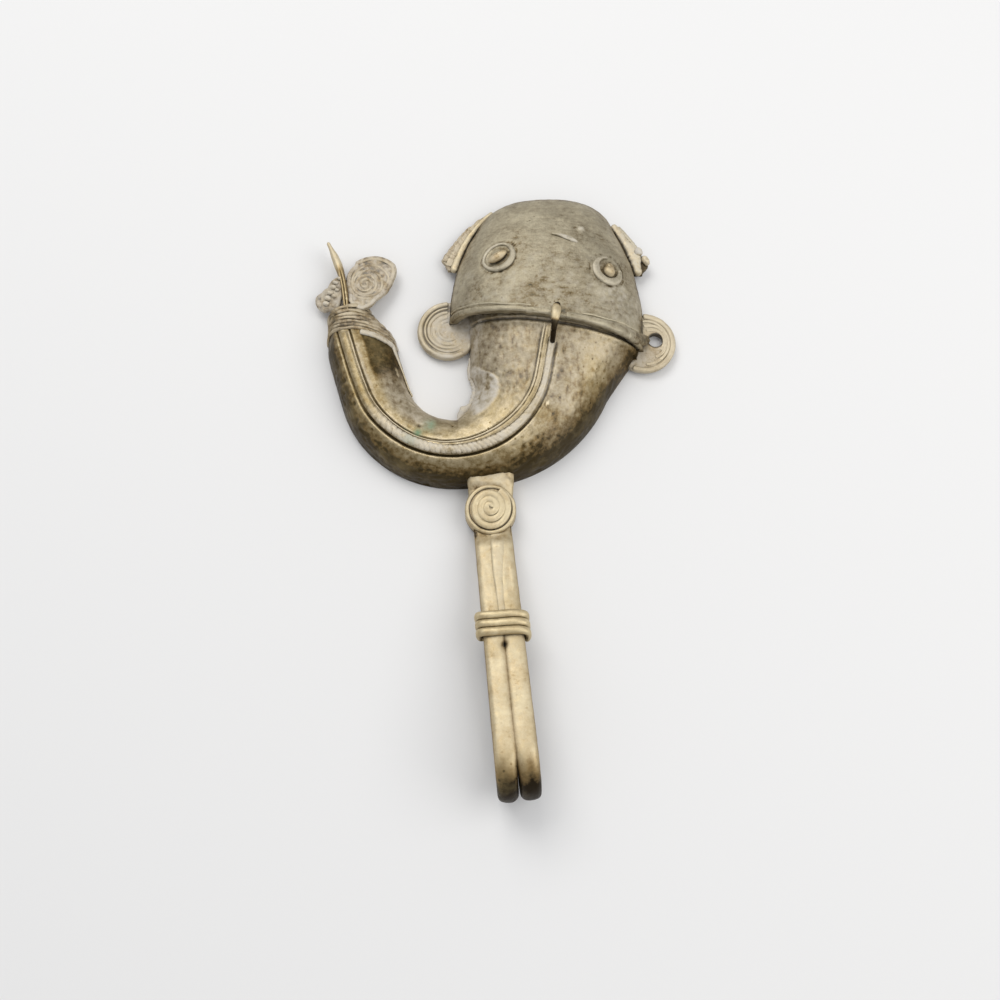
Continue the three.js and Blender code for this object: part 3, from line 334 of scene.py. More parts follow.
    # What settles on the brass is rougher and less metallic
    dull = sums("ADD", sums("MULTIPLY", residue, 0.9), verdigris)
    link(ranged(dull, 0.0, 1.0, 0.85, 0.1), shader.inputs["Metallic"])
    roughness = ranged(specks, 0.3, 0.7, rough - 0.07, rough + 0.1)
    link(sums("ADD", roughness, sums("MULTIPLY", dull, 0.25)), shader.inputs["Roughness"])

    height = sums("ADD", sums("MULTIPLY", scratches, 0.6), sums("MULTIPLY", grain, 0.25))
    height = sums("SUBTRACT", height, sums("MULTIPLY", pitted, 0.8))
    fine = node("Bump", Height=height, Strength=0.8, Distance=depth * MM * 2).outputs[0]
    relief = node("Bump", Height=specks, Normal=fine, Strength=0.7, Distance=depth * MM * 3)
    link(relief.outputs[0], shader.inputs["Normal"])
    return mat, slot


dark_brass = aged_brass(
    "dark worn brass", "dark_brass", rubbed=(0.54, 0.45, 0.295), worn=(0.275, 0.212, 0.11),
    patina_and_shade=(0.048, 0.032, 0.009), rough=0.45, pits=0.5, even=1.5,
)
TAIL_CLOSING = 2
TUCKED_IN = 0.6


def spread_angle(share):
    """Angle over the body, its points closer together at the crest, where the strips lie."""
    return pi * (share + 0.45 * sin(2 * pi * share) / (2 * pi))


def lay_body(s, share):
    """The skin, rounded off at the tail's end and tucked inside the head at the mouth."""
    run = min(s, BODY_LENGTH)
    spot = body_point(run, spread_angle(share))
    if s > BODY_LENGTH:
        closing = (s - BODY_LENGTH) / TAIL_CLOSING
        middle, along, _ = crest(run)
        spot = Vector((middle.x, middle.y, 0)).lerp(spot, sqrt(max(0, 1 - closing * closing)))
        spot += along * closing * 1.2
    behind = mouth_line(spot.x) - spot.y
    if behind < TUCKED_IN:
        inside = smooth(behind, TUCKED_IN, -0.4)
        spot.x = lerp(spot.x, min(spot.x, HEAD.x + HEAD_HALF_WIDTH - WALL - TUCKED_IN), inside)
    return spot


def near(s, across, at, over, size):
    return bell(sqrt((s - at) ** 2 + (across - over) ** 2), 0, size)


# Close rows at the mouth, wider ones along the body, and the last few round the tail's end
rows = [0.3 * i for i in range(27)] + [8.1 + 0.52 * i for i in range(225)]
rows += [BODY_LENGTH + past for past in (0.6, 1.2, 1.7, TAIL_CLOSING)]
body, share, along = drawn(rows, 132, lay_body, half=True)
face_out(body)
paint = body.verts.layers.float_color.new("patina_and_shade")
for v in body.verts:
    s, angle = v[along], spread_angle(v[share])
    half = outer_half(s) if cos(angle) > 0 else inner_half(s)
    across = half * side_share(angle, BODY_ROUNDNESS)
    behind = mouth_line(v.co.x) - v.co.y
    # Where on the body the point is: under the strips and the rope, on neck, tail or flank
    strips = smooth(s, STRIPS_FROM, STRIPS_FROM + 3)
    roped = smooth(s, ROPE_FROM, ROPE_FROM + 2)
    outside, inside = lane(s) + rope_half(s) + 0.5, lane(s) + edge_line(s) - 0.5
    neck, tail = smooth(s, 42, 24), smooth(s, 80, 98)
    right = smooth(v.co.x, MOUTH.x - 3, MOUTH.x + 1)
    flank = smooth(across, 3, 6) * smooth(s, 24, 40)
    panel = smooth(s, 93, 101) * smooth(across, -2.6, -4.2)
    # Lumps, the groove and swelling behind the mouth, the cuts beside the strips, pits and holes
    lift = 0.22 * noise.noise(v.co / 9) + 0.12 * noise.noise(v.co / 3.2)
    lift += lerp(0.06, 0.13, neck) * noise.noise(v.co / 1.25)
    mouth_groove = bell(behind, 0.45, 0.32)
    lift -= lerp(0.7, 1.0, right) * mouth_groove
    lift += 0.3 * bell(behind, 1.7, 0.9)
    cut = lerp(0.5, 0.85, smooth(s, 25, 45)) * lerp(1, 0.55, tail)
    lift -= roped * cut * bell(across, outside, 0.24 + 0.14 * cut)
    lift += roped * 0.25 * bell(across, outside + 1.2, 0.8)
    lift -= strips * 0.45 * bell(across, inside, 0.26)
    lift -= 0.4 * flank * max(0, noise.noise(v.co / 1.5) - 0.05)
    for at, over, radius in HOLES:
        lift -= 0.75 * radius * near(s, across, at, over, radius * 0.75)
    # Dark patina and painted shade low on the outer flank, dark patina on the panel, in streaks on the neck
    # and in the grooves
    patchy = 0.5 + 0.5 * noise.noise(v.co / 3 + Vector((7, 1, 3)))
    mottle = 0.5 + 0.65 * noise.noise(v.co / 1.9 + Vector((2, 5, 1))) + 0.4 * noise.noise(v.co / 0.9)
    streaks = noise.noise(Vector((v.co.x / 0.9, v.co.y / 2.8, v.co.z / 2)))
    # Painted shade with patina: darker low on the outer flank and out towards its rim, mottled
    dark = smooth(v.co.z, 15, 3) * smooth(across, 1, 7) * lerp(0.4, 0.88, smooth(s, 10, 28))
    dark *= lerp(0.7, 1.25, mottle)
    dark = max(dark, flank * (0.3 + 0.3 * smooth(mottle, 0.3, 1.1)) * smooth(across, 3, 10))
    dark = max(dark, 0.4 * panel, 0.28 * neck * smooth(streaks, 0.12, 0.5))
    dark = max(dark, neck * (0.08 + 0.3 * smooth(patchy, 0.45, 0.8) * mottle))
    dark = max(dark, 0.12 * smooth(s, 84, 96) * smooth(across, 3, -1))
    dark = max(dark, lerp(0.4, 0.75, right) * mouth_groove)
    dark = max(dark, 0.5 * roped * cut * bell(across, outside, 0.3))
    dark = max(dark, 0.3 * strips * bell(across, inside, 0.2))
    green = max(near(s, across, at, over, size) for at, over, size in VERDIGRIS)
    # A raised crust on the neck's inner side, chalk on the tail's inner side and behind the mouth, and a pale
    # band of chalk and painted highlight by the tail's inner groove
    crust_edge = -10.3 - 13 * exp((17.3 - s) / 7.5)
    crust = smooth(s, 14, 19) * smooth(s, 53, 46) * smooth(across, crust_edge + 0.9, crust_edge - 0.6)
    crust *= smooth(patchy + 0.3 * mottle, 0.25, 0.6)
    lift += 0.28 * crust
    caked = max(0.8 * smooth(s, 30, 12) * smooth(across, -19, -25), 0.95 * crust)
    # Chalk with painted highlight: a pale band just inside the inner strip's groove on the tail
    caked = max(caked, 0.3 * smooth(s, 90, 98) * smooth(s, 115, 108) * bell(across - inside, -0.9, 0.6))
    caked = max(caked, 0.42 * smooth(s, 104, 92) * smooth(s, 62, 76) * smooth(across, -4, -7))
    dark *= 1 - 0.8 * caked
    pale = bell(behind, 5, 5) * smooth(across, 2, 7) * smooth(across, 25, 18)
    dark *= 1 - 0.5 * pale
    caked = max(caked, 0.28 * neck * smooth(across, 15, 7), 0.24 * pale)
    # The rim that lies on the table stays straight
    v.co += v.normal * lift * smooth(v.co.z, -0.1, 1.2)
    v[paint] = (min(dark, 1), green, caked, 1)
cast(body, "curled_body", dark_brass, "body_shell", wall=WALL)

# Head. A hollow dome cast with the body, smooth round the crown and flatter behind the eyes, with
# fine scratches running across it and a small worn stub on the forehead. Its patina is greyer
# than the body's.
grey_brass = aged_brass(
    "grey scratched brass", "grey_brass", rubbed=(0.5, 0.44, 0.31), worn=(0.3, 0.255, 0.17),
    patina_and_shade=(0.045, 0.036, 0.021), rough=0.52, streak=(260, 900, 700), depth=0.1, pits=0.3,
    tint=(0.29, 0.262, 0.19),
)
HEAD_LENGTH, HEAD_HEIGHT = 47.3, 20.6
DOME_ROUNDNESS, PLAN_ROUNDNESS = 2.4, 2.2
LEFT_CROWN, RIGHT_CROWN = 2.5, 2.75
HEAD_JOIN = 6.2
JOIN_ROWS, DOME_ROWS = 18, 94
STUB = (10.8, 29.3)
LEFT_EYE, RIGHT_EYE = (-15.1, 18.8), (18.7, 14.7)
LEFT_TURN = radians(38)
LEFT_LOOP, RIGHT_LOOP = (4.85, 4.5), (4.9, 4.6)


def head_share(ahead):
    return max(0, 1 - (max(0, ahead) / HEAD_LENGTH) ** PLAN_ROUNDNESS)


def head_edge(ahead):
    return HEAD_HALF_WIDTH * head_share(ahead) ** (1 / PLAN_ROUNDNESS)


def head_height(across, ahead):
    share = min(1, abs(across) / max(head_edge(ahead), WELD))
    return HEAD_HEIGHT * sqrt(head_share(ahead)) * sqrt(1 - share**DOME_ROUNDNESS)


def on_head(across, ahead, lift=0.0):
    """A point over the dome, across and ahead of its axis, and the skin's normal there."""
    step = 0.4
    slope_x = (head_height(across + step, ahead) - head_height(across - step, ahead)) / (2 * step)
    slope_y = (head_height(across, ahead + step) - head_height(across, ahead - step)) / (2 * step)
    normal = Vector((-slope_x, -slope_y, 1)).normalized()
    skin = Vector((HEAD.x + across, HEAD.y + ahead, head_height(across, ahead)))
    return skin + normal * lift, normal


def seat(across_ahead, spin=0.0):
    """Place and turn of something set on the dome, its own z along the skin's normal."""
    spot, normal = on_head(*across_ahead)
    turn = Vector((0, 0, 1)).rotation_difference(normal).to_matrix().to_4x4()
    return Matrix.Translation(spot) @ turn @ Matrix.Rotation(spin, 4, "Z")


def lay_head(ahead, share):
    """The crown is squarer than the rest of the dome, more so on the right."""
    angle = pi * share
    square = RIGHT_CROWN if angle < pi / 2 else LEFT_CROWN
    crown = HEAD_HALF_WIDTH * max(0, 1 - (max(0, ahead) / HEAD_LENGTH) ** square) ** (1 / square)
    edge = lerp(head_edge(ahead), crown, smooth(ahead, 31, 44))
    x = HEAD.x + edge * side_share(angle, DOME_ROUNDNESS)
    y = HEAD.y + ahead
    if ahead < HEAD_JOIN:
        y = lerp(mouth_line(x), HEAD.y + HEAD_JOIN, max(0, ahead) / HEAD_JOIN)
    return Vector((x, y, HEAD_HEIGHT * sqrt(head_share(ahead)) * sin(angle)))


# Rows from the slanting mouth line to the first straight one, then closer towards the crown
rows = [HEAD_JOIN * i / JOIN_ROWS for i in range(JOIN_ROWS)]
rows += [HEAD_LENGTH * sin(radians(lerp(7.53, 90, i / DOME_ROWS))) for i in range(DOME_ROWS + 1)]
head, _, _ = drawn(rows, 150, lay_head, half=True)
face_out(head)
sockets = [(seat(place, turn).inverted(), loop) for place, turn, loop in (
    (LEFT_EYE, LEFT_TURN, LEFT_LOOP), (RIGHT_EYE, 0, RIGHT_LOOP)
)]
paint = head.verts.layers.float_color.new("patina_and_shade")
for v in head.verts:
    over = v.co.x - HEAD.x
    ahead = v.co.y - HEAD.y
    front = v.co.y - mouth_line(v.co.x)
    wrinkle = noise.noise(Vector((v.co.x / 3.4, v.co.y / 1.1, v.co.z / 3)))
    worked = smooth(ahead, 30, 10)
    # Lumps, wrinkles running across, scraped places between the eyes, and the stub
    lift = 0.25 * noise.noise(v.co / 11) + 0.12 * noise.noise(v.co / 4) + 0.06 * noise.noise(v.co / 1.2)
    lift += (0.05 + 0.02 * worked) * wrinkle
    lift -= 0.12 * worked * max(0, noise.noise(Vector((v.co.x / 1.5, v.co.y / 1.1, 4))) - 0.15)
    from_stub = sqrt((over - STUB[0]) ** 2 + (ahead - STUB[1]) ** 2)
    stub = bell(from_stub, 0, 0.9)
    lift += 0.6 * stub
    dark = 0.65 * smooth(v.co.z + 3 * noise.noise(v.co / 5), 9, 0) + 0.2 * smooth(front, 5, 1)
    dark = max(dark, 0.05 * worked * smooth(wrinkle, 0, -0.5))
    # The tool's line round each eye, and the sunk place inside its ring
    for inverse, (radius_x, radius_y) in sockets:
        spot = inverse @ v.co
        round_it = sqrt((spot.x / radius_x) ** 2 + (spot.y / radius_y) ** 2)
        outline = bell(round_it, 1.24, 0.05)
        lift -= 0.22 * outline + 0.2 * smooth(round_it, 0.95, 0.75)
        dark = max(dark, 0.22 * outline, 0.12 * smooth(round_it, 0.95, 0.8))
    # Darker round the stub, at the crown's edge and down the middle, with pale crumbs in places, laid thicker
    # on the right near the mouth as painted light
    dark = max(dark, 0.15 * bell(from_stub, 2.2, 1.2))
    dark = max(dark, 0.3 * smooth(head_share(ahead), 0.3, 0.05), 0.14 * worked * bell(over, 0, 14))
    caked = max(0.6 * stub, 0.12 * bell(v.co.x, 12, 14) * bell(front, 6, 4) * smooth(wrinkle, -0.2, 0.3))
    crumbs_and_light = smooth(noise.noise(v.co / 1.3), -0.15, 0.35)
    caked = max(caked, 0.2 * worked * smooth(noise.noise(v.co / 1.7 + Vector((3, 8, 1))), 0, 0.45))
    # Painted light with pale crumbs: brighter on the right of the dome near the mouth
    caked = max(caked, 0.5 * crumbs_and_light * bell(over, 22, 7) * bell(ahead, 5, 7))
    v.co += v.normal * lift * smooth(v.co.z, -0.1, 1.2)
    v[paint] = (min(dark, 1), 0, caked, 1)
cast(head, "domed_head", grey_brass, "head_shell", wall=WALL)

# Lips. A rolled strip of wax laid along each side of the head's mouth edge, fuller to the right,
# and a fine thread along its upper edge. The left one was nicked with a blade near its corner.
UP = Vector((0, 0, 1))
MIDDLE = acos(2.3 / HEAD_HALF_WIDTH)
RING_SIDE = 2.0 / HEAD_HALF_WIDTH
LEFT_CORNER, RIGHT_CORNER = pi - radians(13), radians(22)
LIP_END = Vector((48.2, 45.6, 3.3))
NICKS = (0.12, 0.155, 0.185, 0.225, 0.3)


def steady(value):
    """A thread's value may be one for all its length, or a function of the place u along it."""
    return value if callable(value) else lambda u: value


def rounded_run(rows, ends=4):
    """Stations of a strand: place along it, size of its section, and how far past its end."""
    run = [(0, sin(pi * i / 2 / ends), -cos(pi * i / 2 / ends)) for i in range(ends)]
    run += [(i / rows, 1, 0) for i in range(rows + 1)]
    return run + [(1, cos(pi * i / 2 / ends), sin(pi * i / 2 / ends)) for i in range(1, ends + 1)]


def thread(name, node, path, up, wide, tall, rows, sides, finish, shape=None, colour=(0, 0, 0)):
    """A rolled thread along path(u), flat side to the skin, with rounded ends.

    wide and tall are half sizes. shape(u, angle) scales the section, and colour is its patina.
    """
    up_at, wide_at, tall_at, colour_at = steady(up), steady(wide), steady(tall), steady(colour)
    stations = rounded_run(rows)
    step = 0.5 / rows
    frames = []
    for u, size, past in stations:
        ahead = (path(min(1, u + step)) - path(max(0, u - step))).normalized()
        side = ahead.cross(up_at(u)).normalized()
        above = side.cross(ahead)
        middle = path(u) + ahead * past * tall_at(u)
        frames.append((middle, side * wide_at(u) * size, above * tall_at(u) * size))

    def lay(i, share):
        middle, side, above = frames[i]
        angle = 2 * pi * share
        scale = shape(stations[i][0], angle) if shape else 1
        return middle + (side * cos(angle) + above * sin(angle)) * scale

    bm, _, along = drawn(range(len(stations)), sides, lay)
    paint = bm.verts.layers.float_color.new("patina_and_shade")
    for v in bm.verts:
        u = stations[round(v[along])][0]
        v.co += Vector((1, 1, 1)) * 0.05 * noise.noise(v.co / 2.2)
        v[paint] = (*colour_at(u), 1)
    cast(bm, name, finish, node)


def boxy(angle, roundness=3):
    """Squares a thread's round section, so that it looks like a pressed strip."""
    return (abs(cos(angle)) ** roundness + abs(sin(angle)) ** roundness) ** (-1 / roundness)


def pressed(roundness=3):
    return lambda u, angle: boxy(angle, roundness)


def nicked(u, angle):
    return boxy(angle) * (1 - 0.13 * sum(bell(u, at, 0.007) for at in NICKS))


def mouth_arch(angle, grow=0.0, back=0.0):
    x = HEAD.x + (HEAD_HALF_WIDTH + grow) * side_share(angle, DOME_ROUNDNESS)
    return Vector((x, mouth_line(x) + back, (HEAD_HEIGHT + grow) * sin(angle)))


def arch_up(angle):
    """Out of the head's skin at the mouth."""
    step = 0.02
    ahead = mouth_arch(angle + step) - mouth_arch(angle - step)
    return ahead.cross(Vector((0, 1, 0))).normalized() * -1


def left_lip_path(u):
    return mouth_arch(lerp(LEFT_CORNER, MIDDLE + RING_SIDE, u), -0.62, 0.8 + 0.12 * sin(9 * u))


def right_lip_path(u):
    """Along the arch, then off its end to the eyelet in the barbel."""
    spot = mouth_arch(lerp(MIDDLE - RING_SIDE, RIGHT_CORNER, min(1, u / 0.9)), -0.7, lerp(0.75, 1.3, u))
    return spot.lerp(LIP_END, smooth(u, 0.74, 1))


thread(
    "left_lip", "lip_left", left_lip_path,
    up=lambda u: arch_up(lerp(LEFT_CORNER, MIDDLE + RING_SIDE, u)),
    wide=lambda u: 1.02 - 0.12 * u,
    tall=0.85, rows=110, sides=20, finish=grey_brass, shape=nicked,
    colour=lambda u: (0.06 + 0.12 * smooth(u, 0.3, 0.0), 0, 0),
)
thread(
    "right_lip", "lip_right", right_lip_path,
    up=lambda u: arch_up(lerp(MIDDLE - RING_SIDE, RIGHT_CORNER, u)).lerp(UP, smooth(u, 0.8, 1)),
    wide=lambda u: lerp(1.15, 1.9, smooth(u, 0.1, 0.7)) - 0.5 * smooth(u, 0.85, 1),
    tall=lambda u: lerp(0.9, 1.15, u),
    rows=110, sides=20, finish=grey_brass, shape=pressed(),
    colour=lambda u: (0.06 + 0.26 * smooth(u, 0.4, 0.85), 0, 0.05),
)


def lip_edge(name, node, from_angle, to_angle, back_from, back_to):
    def angle_at(u):
        return lerp(from_angle, to_angle, u)

    def path(u):
        return mouth_arch(angle_at(u), -0.12, lerp(back_from, back_to, u) + 0.1 * sin(14 * u))

    thread(name, node, path, up=lambda u: arch_up(angle_at(u)), wide=0.38, tall=0.32, rows=70, sides=12,
           finish=grey_brass)


lip_edge("left_lip_edge", "lip_thread_left", pi - radians(17), MIDDLE + 0.2, 2.5, 2.15)
lip_edge("right_lip_edge", "lip_thread_right", MIDDLE - 0.2, radians(26), 2.15, 3.6)

# Mouth ring. A loop of wire standing over the mouth's middle, one foot in the head and one in the
# neck. It is the highest point, so it has been rubbed bright on top, and its legs are painted dark
# as shade.
polished_brass = aged_brass(
    "pale rubbed brass", "polished_brass", rubbed=(0.63, 0.53, 0.33), worn=(0.47, 0.365, 0.205),
    patina_and_shade=(0.021, 0.013, 0.004), rough=0.5, pits=0.25, even=4.0,
)
RING_REACH, RING_BACK, RING_TOP = 5.4, 1.6, 23.8
RING_SPRINGING = HEAD_HEIGHT - 2.2
RING_FOOT_TURN = 0.42


def ring_path(u):
    turn = lerp(-RING_FOOT_TURN, pi + RING_FOOT_TURN, u)
    return Vector((
        MOUTH.x - 0.3 + 0.75 * cos(turn),
        MOUTH.y - RING_BACK + RING_REACH * cos(turn),
        RING_SPRINGING + (RING_TOP - RING_SPRINGING) * sin(turn) - 1.2 * smooth(u, 0.5, 1),
    ))


thread(
    "mouth_loop", "mouth_ring", ring_path,
    up=lambda u: Vector((0.08, sin(pi * (u - 0.5)), cos(pi * (u - 0.5)) + 0.05)),
    wide=lambda u: 0.8 + 0.65 * bell(u, 0.42, 0.17),
    tall=lambda u: 0.7 + 0.2 * bell(u, 0.45, 0.2),
    rows=56, sides=16, finish=polished_brass,
    # The legs are painted dark as shade, the rubbed top left pale
    colour=lambda u: (0.8 * max(smooth(u, 0.36, 0.28), smooth(u, 0.52, 0.6)), 0, 0.2 * bell(u, 0.44, 0.1)),
)

# Crest. Three strips of wax run from the ring to the tail: a rope notched with a blade on the
# outer side, a flat band and a fine thread. They close up towards the tail, where they are worn.
STRIPS_TO = 116
STRIP_ROWS, ROPE_ROWS = 220, 620
GREEN_ON_ROPE = 73.2


def body_normal(s, across):
    step = 0.4
    forward = on_body(s + step, across) - on_body(s - step, across)
    sideways = on_body(s, across + step) - on_body(s, across - step)
    normal = forward.cross(sideways).normalized()
    return normal if normal.z > 0 else normal * -1


def strip_place(u, start=STRIPS_FROM):
    """Distance along the crest of a place along a strip."""
    return lerp(start, STRIPS_TO, u)


def along_strip(of_s, start=STRIPS_FROM):
    return lambda u: of_s(strip_place(u, start))


def rope_path(u):
    s = strip_place(u, ROPE_FROM)
    return on_body(s, lane(s), 0.1 - 0.25 * smooth(u, 0.7, 0.9))


def notched(u, angle):
    """Slanting cuts, wider apart round the bend and worn away towards the tail."""
    s = strip_place(u, ROPE_FROM)
    turn = s / 1.75 + 0.9 * sin(s / 9) - 0.4 * cos(angle)
    cut = bell(turn - round(turn), 0, 0.14) * lerp(smooth(cos(angle), -0.3, 0.5), 1, smooth(s, 34, 52))
    faint = 0.5 + 0.5 * noise.noise(Vector((s / 2, 0, 5)))
    worn = smooth(s, 96, 80)
    return boxy(angle, 2.6) * (1 - 0.22 * cut * faint * worn * lerp(0.7, 1.3, smooth(s, 18, 45)))


def rope_colour(u):
    green = 0.7 * bell(strip_place(u, ROPE_FROM), GREEN_ON_ROPE, 2.2)
    return 0.16 * smooth(u, 0.68, 0.8), green, 0.6 * smooth(u, 0.8, 0.6)


thread(
    "crest_rope_notched", "crest_rope", rope_path,
    up=along_strip(lambda s: body_normal(s, lane(s)), ROPE_FROM),
    wide=lambda u: rope_half(strip_place(u, ROPE_FROM)) + 0.06 * sin(37 * u),
    tall=lambda u: 0.62 + 0.2 * bell(u, 0.5, 0.25),
    rows=ROPE_ROWS, sides=18, finish=dark_brass, shape=notched, colour=rope_colour,
)


def band_half(s):
    return 0.12 + 0.8 * strip_spread(s)


def band_line(s):
    return lane(s) - rope_half(s) - band_half(s) + 0.05


def edge_place(s):
    return lane(s) + edge_line(s)


thread(
    "crest_flat_band", "crest_band", along_strip(lambda s: on_body(s, band_line(s), -0.22)),
    up=along_strip(lambda s: body_normal(s, band_line(s))),
    wide=along_strip(band_half),
    tall=along_strip(lambda s: 0.3 + 0.15 * strip_spread(s)),
    rows=STRIP_ROWS, sides=12, finish=dark_brass, shape=pressed(), colour=(0.15, 0, 0.1),
)
thread(
    "crest_edge_line", "crest_edge_thread",
    lambda u: on_body(strip_place(u), edge_place(strip_place(u)), -0.35 * smooth(u, 0.6, 0.85)),
    up=along_strip(lambda s: body_normal(s, edge_place(s))),
    wide=along_strip(lambda s: 0.26 + 0.12 * strip_spread(s)),
    tall=0.42, rows=STRIP_ROWS, sides=12, finish=dark_brass, colour=(0, 0, 0.2),
)

# Panel thread and neck flash. A thread frames the smooth panel on the tail's inner side. Along
# the neck's inner rim the metal ran out into a thin ragged fin, which was never trimmed.
dusty_brass = aged_brass(
    "dusty pale brass", "dusty_brass", rubbed=(0.6, 0.515, 0.355), worn=(0.4, 0.325, 0.21),
    patina_and_shade=(0.08, 0.06, 0.033), rough=0.55, pits=0.4, depth=0.06,
)
PANEL_TOP, PANEL_TURN, PANEL_DOWN = 112.4, 0.42, 19
PANEL_START, PANEL_RIM, PANEL_FOOT = acos(-0.25), pi - radians(27), pi - radians(10)
FLASH_FROM, FLASH_LENGTH = 14, 44
FLASH_ROOT = 0.7


def whipping(angle):
    """How far along the body the whipping's lower edge lies at this angle over the body."""
    c = cos(angle)
    return 3.4 + 1.5 * sin(2 * angle) if c > 0 else 3.4 - 7.4 * abs(c) ** 1.3


def panel_spot(u):
    """Distance along the crest and angle over the body of the panel's thread."""
    if u < PANEL_TURN:
        angle = lerp(PANEL_START, PANEL_RIM, u / PANEL_TURN)
        return PANEL_TOP + whipping(angle), angle
    down = (u - PANEL_TURN) / (1 - PANEL_TURN)
    return PANEL_TOP + whipping(PANEL_RIM) - PANEL_DOWN * down, lerp(PANEL_RIM, PANEL_FOOT, down)


def body_up(s, angle):
    """Out of the body's skin."""
    return (body_point(s, angle, 1) - body_point(s, angle, -1)).normalized()


thread(
    "panel_frame", "tail_panel_thread", lambda u: body_point(*panel_spot(u), 0.2),
    up=lambda u: body_up(*panel_spot(u)),
    wide=lambda u: lerp(0.95, 0.3, smooth(u, 0.35, 0.75)),
    tall=lambda u: lerp(0.6, 0.3, smooth(u, 0.35, 0.75)),
    rows=120, sides=12, finish=dusty_brass,
    shape=lambda u, angle: 1 + 0.12 * noise.noise(Vector((30 * u, 0, 2))),
    colour=lambda u: (0, 0, 0.9 * smooth(u, 0.75, 0.4)),
)


def flash_half(u):
    waves = 0.25 * (sin(9 * u) + sin(23 * u) + 0.6 * noise.noise(Vector((9 * u, 0.3, 0))))
    width = 0.5 + 0.6 * bell(u, 0.5, 0.3) + 1.5 * bell(u, 0.9, 0.09) + 0.4 * waves
    width = width * smooth(u, -0.05, 0.12) * smooth(u, 1.02, 0.93) + 0.15
    return (width + FLASH_ROOT) / 2


def flash_path(u):
    s = FLASH_FROM + FLASH_LENGTH * u
    point, _, out = crest(s)
    spot = point + out * (FLASH_ROOT - inner_half(s) - flash_half(u))
    spot.z = 1.5 + 0.9 * bell(u, 0.7, 0.3)
    return spot


thread(
    "neck_metal_flash", "neck_flash", flash_path, up=UP, wide=flash_half, tall=0.75, rows=150, sides=12,
    finish=dusty_brass, shape=lambda u, angle: 1 + 0.12 * sin(70 * u + 3 * cos(angle)), colour=(0, 0, 1),
)

# Eyes. Wire rings laid on the dome. The left is an oval loop round a bar shaped like a bean, and
# the right is an open crescent round a raised drop. A short slanted ridge lies on the brow.
CRESCENT = (4.3, 4.2)
BROW, BROW_SLANT, BROW_HALF = (5.45, 25.1), radians(-21), 3.9


def eye_wire(name, node, place, spin, loop, from_angle, to_angle, wide, tall):
    frame_of = seat(place, spin)

    def over_head(u, lift=0.0):
        angle = radians(lerp(from_angle, to_angle, u))
        spot = frame_of @ Vector((loop[0] * cos(angle), loop[1] * sin(angle), 0))
        return on_head(spot.x - HEAD.x, spot.y - HEAD.y, lift)

    thread(name, node, lambda u: over_head(u, 0.05)[0], up=lambda u: over_head(u)[1], wide=wide, tall=tall,
           rows=90, sides=16, finish=grey_brass, shape=pressed(2.5), colour=(0, 0, 0.3))


eye_wire(
    "left_eye_loop", "left_eye_ring", LEFT_EYE, LEFT_TURN, LEFT_LOOP, from_angle=24, to_angle=374,
    wide=lambda u: 0.5 + 0.62 * bell(u, 0.74, 0.2), tall=lambda u: 0.55 + 0.2 * bell(u, 0.74, 0.2),
)
eye_wire(
    "right_eye_crescent", "right_eye_ring", RIGHT_EYE, 0, CRESCENT, from_angle=98, to_angle=366,
    wide=lambda u: 0.35 + 0.95 * smooth(u, 0, 0.35) * smooth(u, 1.2, 0.7), tall=0.72,
)


def eye_wax(name, node, place, spin, pinched):
    """A ball of wax set on the dome. pinched(co) gives the point's new place and its patina."""
    bm = bmesh.new()
    bmesh.ops.create_uvsphere(bm, u_segments=40, v_segments=28, radius=1)
    paint = bm.verts.layers.float_color.new("patina_and_shade")
    for v in bm.verts:
        v.co, patina_and_shade = pinched(v.co)
        v[paint] = (*patina_and_shade, 1)
    bmesh.ops.transform(bm, matrix=seat(place, spin), verts=bm.verts)
    cast(bm, name, polished_brass, node)


def bean(co):
    spot = Vector((3.25 * co.x, 1.6 * co.y * (1 - 0.22 * co.x**2), 1.05 * co.z + 0.6))
    spot.z += 0.06 * noise.noise(spot / 0.8)
    return spot, (0.1, 0, 0.3)


def raised_drop(co):
    drop = smooth(co.y, -0.1, 1)
    spot = Vector((1.9 * co.x, co.y * lerp(1.85, 3.3, drop), co.z * lerp(1.75, 1.15, drop) + 0.2))
    return spot, (0.14 * drop, 0, 0.35 * (1 - drop))


eye_wax("left_eye_bean", "left_eye_bar", (LEFT_EYE[0] - 0.1, LEFT_EYE[1] - 0.4), radians(26), bean)
eye_wax(
    "right_eye_drop", "right_eye_pupil", (RIGHT_EYE[0] + 0.25, RIGHT_EYE[1] - 0.75), radians(-12), raised_drop
)


def brow_spot(u):
    reach = lerp(-BROW_HALF, BROW_HALF, u)
    bulge = 0.4 * (1 - (2 * u - 1) ** 2)
    return BROW[0] + reach * cos(BROW_SLANT), BROW[1] + reach * sin(BROW_SLANT) + bulge


thread(
    "brow_raised_line", "brow_ridge", lambda u: on_head(*brow_spot(u), 0.08)[0],
    up=lambda u: on_head(*brow_spot(u))[1],
    wide=lambda u: 0.3 + 0.5 * smooth(u, 0.05, 0.6) * smooth(u, 1.1, 0.8),
    tall=0.42, rows=30, sides=12, finish=grey_brass, colour=lambda u: (0, 0, 0.7 * smooth(u, 0, 0.5)),
)

# Barbels. A flat round lobe at each corner of the mouth, with threads of wax coiled on it. The
# left is caked pale towards the neck, and the right one is pierced.
BARBEL_RADIUS, BARBEL_BASE, BARBEL_TOP = 9.9, 0.6, 2.75


def lobe_centre(outwards, drop):
    x = HEAD.x + outwards * HEAD_HALF_WIDTH
    return Vector((x, mouth_line(x) + drop, 0))


